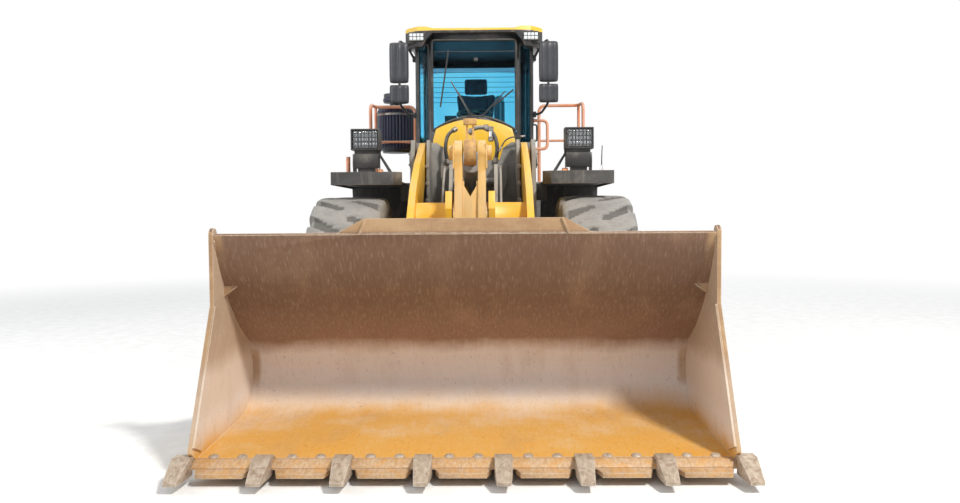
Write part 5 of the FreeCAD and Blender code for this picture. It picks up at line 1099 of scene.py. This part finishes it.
# %% Seal, wipers and sun band
screen_y = on_face("cab_glass", 0.0, 3.0)
SCREEN_X, SCREEN_TOP = 0.447, 3.405
side_x = np.linspace(-SCREEN_X, SCREEN_X, 41)
arch = np.stack([side_x, np.full(41, screen_y - 0.004), 2.448 + 0.150 * (1 - (side_x / SCREEN_X) ** 2)], -1)
top = [(x, screen_y - 0.004, SCREEN_TOP) for x in (SCREEN_X, -SCREEN_X)]
loop = np.concatenate([arch, top, arch[:1]])
surface("screen_seal", swept(rounded_path(loop, 0.03, 3), 0.014, 10), "rubber_black")
for side, sign in SIDES:
    corner = [(sign * x, screen_y + 0.012 + d, z) for x, d, z in ((0.488, 0, 2.31), (0.602, 0.045, 2.31),
              (0.602, 0.045, 3.365), (0.488, 0, 3.365), (0.488, 0, 2.31))]
    pipe("corner_seal_" + side, corner, 0.03, 0.007, 8, "rubber_black")
band_y = screen_y - 0.003
band_line = [(x, band_y, 3.285) for x in (-0.43, 0.0, 0.43)]
surface("band_line", swept(band_line, 0.0035, 8), "cab_dark")
lump("band_square", [(0.02, band_y, 3.20)], (0.022, 0.003, 0.018), 0.0025, "cab_dark")


def wiper(name, pivot, elbow, foot, tip):
    """An arm from its pivot over the elbow to the blade, and the blade as a slim rubber strip."""
    lifted = screen_y - 0.035
    arm = [(pivot[0], screen_y - 0.006, pivot[1]), (pivot[0], lifted, pivot[1]), (elbow[0], lifted, elbow[1])]
    pipe(name + "_arm", arm, 0.02, 0.0065, 8, "cab_dark")
    middle = ((foot[0] + tip[0]) / 2, screen_y - 0.020, (foot[1] + tip[1]) / 2)
    blade = [(foot[0], screen_y - 0.014, foot[1]), middle, (tip[0], screen_y - 0.014, tip[1])]
    pipe(name + "_blade", blade, 0.2, 0.0085, 8, "rubber_black")


wiper("wiper_left", (-0.05, 2.62), (-0.245, 2.97), (-0.36, 2.70), (-0.27, 3.30))
wiper("wiper_right", (0.09, 2.60), (0.33, 2.86), (0.20, 2.70), (0.42, 2.88))
rod = [(-0.03, screen_y - 0.03, 2.615), (-0.16, screen_y - 0.035, 2.84), (-0.225, screen_y - 0.03, 2.93)]
pipe("wiper_rod", rod, 0.05, 0.005, 8, "cab_dark")
pivots = [(x, screen_y - 0.004, z) for x, z in ((-0.05, 2.62), (0.09, 2.60), (-0.03, 2.615))]
lathe("wiper_pivots", np.array(ROUND_CAP) * 0.02, pivots, (0, -1, 0), 16, "cab_dark")
print("cab front")

# %% [markdown]
# ## Mirrors and rails
# Bent tube makes the mirrors' arms and the rails, so these replace the straight rods of the model. A mirror's
# back is a shallow moulded dish: a rounded block whose face is pushed in, with a raised rib down its middle.


# %% Mirrors
def mirror_shell(centre, half):
    """A rounded back that bulges to -y with a dish, a middle rib and two steps, and the flat glass side."""
    u = np.linspace(-1, 1, 33)[None, :]
    v = np.linspace(-1, 1, 41)[:, None]
    round_u = u * np.sqrt(1 - 0.10 * v ** 6)
    round_v = v * np.sqrt(1 - 0.10 * u ** 6)
    bulge = 0.034 * (1 - u ** 6) * (1 - v ** 6) ** 0.6
    dish = 0.010 * (1 - np.abs(u) ** 3) * (1 - np.abs(v) ** 4)
    rib = 0.008 * np.exp(-(u / 0.12) ** 2) * (1 - v ** 8)
    steps = 0.004 * np.exp(-((np.abs(u) - 0.62) / 0.07) ** 2) * (1 - v ** 8)
    front = centre[1] - bulge + dish - rib - steps
    back = centre[1] + 0.036 * (1 - u ** 12) * (1 - v ** 12) - 0.004
    x, z = centre[0] + half[0] * round_u, centre[2] + half[1] * round_v
    return np.concatenate([np.stack([x, front, z], -1), np.stack([x, back, z], -1)[::-1]])


tube_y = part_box("mirrors")[0][1] + 0.030
ARM_LOW, ARM_HIGH = 2.64, 3.25
MIRROR_ARM = [(0.655, 0.102, ARM_HIGH), (0.72, 0.0, 3.37), (0.782, tube_y, 3.382), (0.782, tube_y, 2.72),
              (0.72, 0.0, ARM_LOW), (0.655, 0.102, ARM_LOW)]
for side, sign in SIDES:
    for label, z, half in (("main", 3.1475, 0.2125), ("low", 2.82, 0.098)):
        grid = mirror_shell((sign * 0.784, tube_y, z), (0.101, half))
        shell = surface("mirror_" + label + "_" + side, grid, "plastic_dark", wrap=False, crease=50)
        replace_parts(shell, "mirrors")
    arm = [(sign * x, y, z) for x, y, z in MIRROR_ARM]
    pipe("mirror_tube_" + side, arm, 0.06, 0.013, 12, "cab_dark")
    pads = [(sign * 0.657, 0.102, z) for z in (ARM_LOW, ARM_HIGH)]
    lump("mirror_pads_" + side, pads, (0.0165, 0.03, 0.03), 0.006, "cab_dark")
    for z in (2.77, 2.86, 3.03, 3.27):
        name = "mirror_clamp_" + side + str(int(z * 100))
        lump(name, [(sign * 0.79, tube_y, z)], (0.026, 0.022, 0.016), 0.006, "cab_dark")
print("mirrors")

# %% [markdown]
# ## Rails, canister and antenna
# One bent tube makes two posts and the bar between them, as a pipe bender does.

# %% Rails
rails = []
FOOT, MIDDLE, HIGH = 1.936, 2.50, 2.95
FRONT_POST, CORNER_POST, INNER_POST = (1.34, 1.49), (1.31, 1.75), (0.80, 1.75)
GRAB_LOW, GRAB_HIGH = 2.265, 2.575
DOOR_EDGE_Y = 0.105
FLANGE = [(0.0, 0.0), (0.0, 0.045), (0.009, 0.045), (0.012, 0.040), (0.012, 0.024), (0.022, 0.021),
          (0.022, 0.0)]
HOOP = [(*FRONT_POST, FOOT), (*FRONT_POST, HIGH), (*CORNER_POST, HIGH), (*INNER_POST, HIGH),
        (*INNER_POST, FOOT)]
BAR = [(*post, MIDDLE) for post in (FRONT_POST, CORNER_POST, INNER_POST)]
UPRIGHT = [(*CORNER_POST, z) for z in (FOOT, 2.2, HIGH)]
GRAB = ((0.642, GRAB_HIGH), (0.795, GRAB_HIGH), (0.795, GRAB_LOW), (0.642, GRAB_LOW))
GRAB = [(x, DOOR_EDGE_Y, z) for x, z in GRAB]
for side, sign in SIDES:
    tubes = [("hoop", HOOP, 0.09, 0.021), ("bar", BAR, 0.06, 0.016), ("post", UPRIGHT, 0.05, 0.019)]
    tubes += [("grab", GRAB, 0.06, 0.017)] if sign > 0 else []
    for label, path, bend, radius in tubes:
        path = [(sign * x, y, z) for x, y, z in path]
        rails.append(pipe("rail_" + label + "_" + side, path, bend, radius, 14, "rail_orange"))
    feet = [(sign * x, y, FOOT) for x, y in (FRONT_POST, CORNER_POST, INNER_POST)]
    rails.append(lathe("rail_feet_" + side, FLANGE, feet, (0, 0, 1), 20, "rail_orange"))
pad = [(0.0, 0.0), (0.0, 0.030), (0.006, 0.030), (0.008, 0.026), (0.008, 0.0)]
pads = [(0.642, DOOR_EDGE_Y, z) for z in (GRAB_LOW, GRAB_HIGH)]
rails.append(lathe("rail_pads", pad, pads, (1, 0, 0), 20, "rail_orange"))
for rail in rails:
    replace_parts(rail, "handrails")
print("rails", len(rails))

# %% Canister ribs, cap and antenna
CAN_X, CAN_Y = -1.08, 2.04
turn = np.linspace(0, 2 * np.pi, 288, endpoint=False)
level = np.array([2.43, 2.44, 2.47, 2.90, 2.93, 2.94])[:, None]
swell = np.array([0.0, 0.6, 1.0, 1.0, 0.6, 0.0])[:, None]
fluted = 0.2365 + 0.011 * swell * np.clip(0.5 + 1.6 * np.cos(36 * turn), 0, 1)
canister = np.stack([CAN_X + fluted * np.cos(turn), CAN_Y + fluted * np.sin(turn), level + 0 * turn], -1)
surface("canister_ribs", canister, "canister_blue", "chassis", crease=40)
dome = [(0.0, 0.0), (0.0, 0.165), (0.03, 0.172), (0.05, 0.165), (0.09, 0.13), (0.112, 0.075), (0.12, 0.0)]
lathe("canister_cap", dome, [(CAN_X, CAN_Y, 3.045)], (0, 0, 1), 48, "canister_blue")
band = [(-0.012, 0.238), (-0.012, 0.252), (0.012, 0.252), (0.012, 0.238)]
lathe("canister_bands", band, [(CAN_X, CAN_Y, z) for z in (2.50, 2.87)], (0, 0, 1), 96, "pin_steel")
mast = [(1.195, ahead(0.24), 1.955), (1.195, ahead(0.24), 2.05), (1.20, ahead(0.24), 2.18)]
surface("antenna", swept(mast, np.array([0.006, 0.005, 0.004]), 8), "rubber_black", "front_end")
base = [(0.0, 0.0), (0.0, 0.016), (0.012, 0.016), (0.03, 0.009), (0.05, 0.009), (0.05, 0.0)]
lathe("antenna_base", base, [(1.195, ahead(0.24), 1.952)], (0, 0, 1), 16, "chrome_rod", "front_end")
print("canister and antenna")

# %% [markdown]
# ## Hydraulic lines
# Steel pipes and short hoses run between fixed fittings on one body, so each is a formed tube that rides on
# that body. A crimped sleeve at each end, a revolved profile, marks where a hose meets its fitting.

# %% Pipes and hoses
CRIMP = np.array([(0.0, 0.0), (0.0, 1.15), (0.12, 1.42), (0.5, 1.42), (0.52, 1.25), (0.60, 1.25),
                  (0.62, 1.42), (0.95, 1.42), (1.0, 1.2), (1.0, 0.0)])
FOCAL = 827


def line_with_ends(name, path, radius, bend, body, finish="rubber_black", sleeve=0.05):
    """A tube along the path, with a sleeve of larger radius at either end."""
    path = np.array(path, float)
    pipe(name, path, bend, radius, 12, finish, body)
    for tag, end, other in (("a", path[0], path[1]), ("b", path[-1], path[-2])):
        lathe(name + "_" + tag, CRIMP * np.array([sleeve, radius]), [end], other - end, 14, "pin_steel", body)


def at_pixel(px, py, u):
    """The point u metres ahead of the axle that a picture 960 wide shows at px, py; it places paths."""
    away = FRONT_AXLE_Y - CAMERA_SPOT[1] - u
    middle = 466.8 + (away - 6.95) * 4.1
    return ((px - middle) * away / FOCAL, ahead(u), CAMERA_SPOT[2] + (215 - py) * away / FOCAL)


TOWER_LINES = (
    ("hose_a", "rubber_black", 0.020, 0.12, (494, 163, -0.48), (497, 148, -0.46), (493, 133, -0.50),
     (484, 128, -0.54)),
    ("pipe", "cast_grey", 0.022, 0.06, (488, 128, -0.55), (474, 128, -0.55), (468, 134, -0.55)),
    ("fitting", "chrome_rod", 0.020, 0.02, (490, 127, -0.50), (490, 142, -0.50)),
    ("cable", "rubber_black", 0.007, 0.14, (498, 152, -0.42), (505, 138, -0.44), (524, 137, -0.48)),
    ("hose_b", "rubber_black", 0.018, 0.12, (447, 164, -0.47), (444, 148, -0.46), (447, 134, -0.50),
     (456, 129, -0.56)))
for name, finish, radius, bend, *seen in TOWER_LINES:
    line_with_ends("tower_" + name, [at_pixel(*spot) for spot in seen], radius, bend, "front_end", finish)
for side, sign in SIDES:
    spots = [(sign * 0.262, ahead(u), z) for u, z in ((0.08, 2.00), (0.30, 1.88), (0.55, 1.62))]
    line_with_ends("arm_pipe_" + side, spots, 0.012, 0.15, "lift_arms", "cylinder_grey", 0.03)
print("lines")

# %% [markdown]
# ## Inside the cab
# The seat is upholstered. Its cushions start as rounded blocks and are blown up like balloons by the cloth
# solver for twenty frames, so that they swell, crease at the seams and settle. The frame below them, the arm
# rests and the steering wheel are plain tubes and mouldings.


# %% Cushions
def cushion(name, half):
    """A rounded block, remeshed evenly and blown up by cloth pressure while the frames run."""
    block = soft_blocks([(0, 0, 0)], [half], 0.6 * min(half), 5)
    piece = surface(name, block, "seat_fabric", "chassis", crease=180)
    remesh = piece.modifiers.new("even", "REMESH")
    remesh.mode = "VOXEL"
    remesh.voxel_size = 0.009
    remesh.use_smooth_shade = True
    cloth = piece.modifiers.new("stuffing", "CLOTH")
    cloth.settings.use_pressure = True
    cloth.settings.uniform_pressure_force = 4.0
    cloth.settings.effector_weights.gravity = 0.0
    cloth.settings.tension_stiffness = 12.0
    cloth.settings.shrink_min = -0.05
    cloth.point_cache.frame_start = 1
    cloth.point_cache.frame_end = LAST_FRAME
    return piece


def shape_now(piece):
    """The mesh with its modifiers at this frame, and its points as rows."""
    graph = bpy.context.evaluated_depsgraph_get()
    mesh = bpy.data.meshes.new_from_object(piece.evaluated_get(graph))
    points = np.empty(len(mesh.vertices) * 3, np.float32)
    mesh.vertices.foreach_get("co", points)
    return mesh, points.reshape(-1, 3).astype(float)


def settle(piece, before, centre, half, tilt):
    """Takes part of the swelling, keeps it near the cushion's real box and sets the cushion in its place."""
    mesh, points = shape_now(piece)
    points = before + SWELL * (points - before)
    piece.modifiers.clear()
    mesh.materials.clear()
    mesh.materials.append(finishes["seat_fabric"])
    points *= np.minimum(1.0, 1.08 * np.array(half) / np.abs(points).max(axis=0))
    tall = 2 if half[2] > half[1] else 1
    u, v = points[:, 0] / half[0], points[:, tall] / half[tall]
    sides = np.exp(-((np.abs(u) - 0.62) / 0.04) ** 2)
    seam = 0.007 * (sides + np.exp(-(v / 0.035) ** 2) * (np.abs(u) < 0.62))
    normal = np.empty(len(mesh.vertices) * 3, np.float32)
    mesh.vertex_normals.foreach_get("vector", normal)
    points -= seam[:, None] * normal.reshape(-1, 3)
    c, s = math.cos(tilt), math.sin(tilt)
    x, y, z = points.T
    turned = np.stack([x, c * y - s * z, s * y + c * z], -1)
    mesh.vertices.foreach_set("co", (turned + np.array(centre)).astype(np.float32).ravel())
    mesh.shade_smooth()
    mesh.update()
    piece.data = mesh
    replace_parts(piece, "seat")


LAST_FRAME = 20
SWELL = 0.45
FLOOR_Z, CAB_Y = 1.9803, -0.14
pads = [("seat_cushion", (0.0, CAB_Y + 0.955, FLOOR_Z + 0.395), (0.250, 0.250, 0.062), 0.05),
        ("seat_back", (0.0, CAB_Y + 1.19, FLOOR_Z + 0.73), (0.232, 0.056, 0.285), -0.04),
        ("seat_headrest", (0.0, CAB_Y + 1.195, FLOOR_Z + 1.108), (0.132, 0.044, 0.090), -0.04)]
cushions = [cushion(name, half) for name, _, half, _ in pads]
before = [shape_now(piece)[1] for piece in cushions]
for step in range(1, LAST_FRAME + 1):
    bpy.context.scene.frame_set(step)
for piece, rest, (_, centre, half, tilt) in zip(cushions, before, pads):
    settle(piece, rest, centre, half, tilt)
bpy.context.scene.frame_set(1)
seat_parts = [([(0.0, CAB_Y + 0.98, FLOOR_Z + 0.165)], (0.195, 0.215, 0.163), 0.03),
              ([(x, CAB_Y + 0.985, FLOOR_Z + 0.595) for x in (0.292, -0.292)], (0.036, 0.19, 0.032), 0.026),
              ([(x, CAB_Y + 1.15, FLOOR_Z + 0.47) for x in (0.27, -0.27)], (0.028, 0.028, 0.13), 0.012)]
for k, (spots, half, radius) in enumerate(seat_parts):
    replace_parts(lump("seat_frame_" + str(k), spots, half, radius, "cab_dark"), "seat")
stalks = [swept([(x, CAB_Y + 1.195, FLOOR_Z + z) for z in (0.97, 1.05)], 0.007, 10) for x in (-0.05, 0.05)]
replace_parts(surface("headrest_stalks", np.array(stalks), "chrome_rod"), "seat")
print("seat")

# %% Steering wheel and column hood
hub = np.array([0.0, CAB_Y + 0.485, FLOOR_Z + 0.70])
lean = math.radians(20)
WHEEL_RADIUS = 0.19
around = np.linspace(0, 2 * np.pi, 65)
across = np.array([1.0, 0.0, 0.0])
up = np.array([0.0, math.cos(lean), math.sin(lean)])
rim_line = hub + WHEEL_RADIUS * (np.cos(around)[:, None] * across + np.sin(around)[:, None] * up)
surface("wheel_rim", swept(rim_line, 0.0185, 12), "rubber_black")
spokes = [swept(np.array([hub, hub + 0.18 * (math.cos(a) * across + math.sin(a) * up)]), 0.012, 10)
          for a in (0.0, math.pi, -math.pi / 2)]
surface("wheel_spokes", np.array(spokes), "rubber_black")
button = [(-0.03, 0.0), (-0.03, 0.055), (0.02, 0.055), (0.032, 0.045), (0.032, 0.0)]
lathe("wheel_hub", button, [hub], np.cross(across, up), 24, "rubber_black")
hump = soft_blocks([(0.0, CAB_Y + 0.36, FLOOR_Z + 0.52)], [(0.17, 0.10, 0.085)], 0.07, 5)
surface("column_hood", hump, "plastic_dark")
print("steering")

# %% Rear lamps, window guard and grille wires
LAMP_X = 0.80
LAMP = [(-0.012, 0.0), (-0.012, 0.046), (0.004, 0.046), (0.012, 0.040), (0.018, 0.024), (0.020, 0.0)]
BEZEL = [(-0.012, 0.046), (0.010, 0.048), (0.014, 0.052), (0.010, 0.058), (-0.012, 0.060)]
for side, sign in SIDES:
    y = landing("counterweight", (sign * LAMP_X, 6.0, 1.42), (0, -1, 0))[0].y + 0.012
    for label, z, finish in (("stop", 1.43, "lens_red"), ("turn", 1.30, "lens_orange")):
        spot = [(sign * LAMP_X, y, z)]
        lathe("rear_" + label + "_" + side, LAMP, spot, (0, 1, 0), 24, finish)
        lathe("rear_bezel_" + label + side, BEZEL, spot, (0, 1, 0), 24, "lamp_black")
guard = [swept([(-0.57, 1.602, z), (0.57, 1.602, z)], 0.0028, 6) for z in np.linspace(2.98, 3.36, 7)]
surface("rear_window_guard", np.array(guard), "cab_dark")
wire_y = landing("hood", (0.0, 6.0, 2.2), (0, -1, 0))[0].y + 0.004
wires = [swept([(x, wire_y, 1.66), (x, wire_y, 2.12)], 0.003, 6) for x in np.linspace(-0.46, 0.46, 24)]
surface("rear_mesh", np.array(wires), "lamp_black")
print("rear")

# %% [markdown]
# ## Seams, latches and grip
# Panels meet in seams, and a seam is drawn by a thin seal that follows the surface: rays find points on the
# panel and a tube is carried through them. Latches and the deck's grip studs are placed the same way.


# %% Seams and studs
def seam(name, node, spots, direction, radius, body):
    """A slim tube through the points where rays from the spots land on the node."""
    found = [landing(node, spot, direction) for spot in spots]
    surface(name, swept([tuple(hit[0]) for hit in found if hit], radius, 8), "rubber_black", body)


for side, sign in SIDES:
    inward = (-sign, 0, 0)
    for k, y in enumerate((2.32, 2.96, 3.60)):
        spots = row((sign * 2.0, y, 1.50), (sign * 2.0, y, 2.40), 12)
        seam("hood_seam_" + side + str(k), "hood", spots, inward, 0.005, "chassis")
    latches = [tuple(landing("hood", (sign * 2.0, y, 1.60), inward)[0]) for y in (2.64, 3.28)]
    lump("latches_" + side, latches, (0.010, 0.055, 0.030), 0.007, "lamp_black")
    grips = [(x + sign * 0.012, y, z) for x, y, z in latches]
    lump("latch_grips_" + side, grips, (0.006, 0.036, 0.010), 0.004, "pin_steel")
    studs = [(sign * x, y, 2.4) for x in (1.05, 1.12, 1.19, 1.26) for y in np.linspace(0.98, 1.66, 9)]
    bolts("deck_studs_" + side, "platforms", "chassis", studs, (0, 0, -1), 0.009, DOME_HEAD, "cast_grey", 8)
    pivots = ring((sign * 1.6, ahead(-0.35), 2.10), 0.075, 4, start=0.78)
    bolts("pivot_bolts_" + side, "front_frame", "front_end", pivots, inward, 0.012)
    hinge = ring((sign * 1.3, ahead(1.72), 0.36), 0.066, 4, start=0.78)
    bolts("hinge_bolts_" + side, "hinge_pins", "hinge_pins", hinge, inward, 0.014)
top_line = row((0.0, 1.75, 4.0), (0.0, 2.60, 4.0), 8)
seam("hood_top_seam", "hood", top_line, (0, 0, -1), 0.005, "chassis")
door_line = row((2.0, 0.19, 2.06), (2.0, 0.19, 3.28), 8)
seam("door_seal", "cab_door", door_line, (-1, 0, 0), 0.006, "door")
x, y, z = landing("cab_door", (2.0, 0.205, 2.45), (-1, 0, 0))[0]
grip = [(x, y, z - 0.09), (x + 0.045, y, z - 0.09), (x + 0.045, y, z + 0.09), (x, y, z + 0.09)]
pipe("door_grip", grip, 0.03, 0.010, 12, "lamp_black", "door")
print("seams")
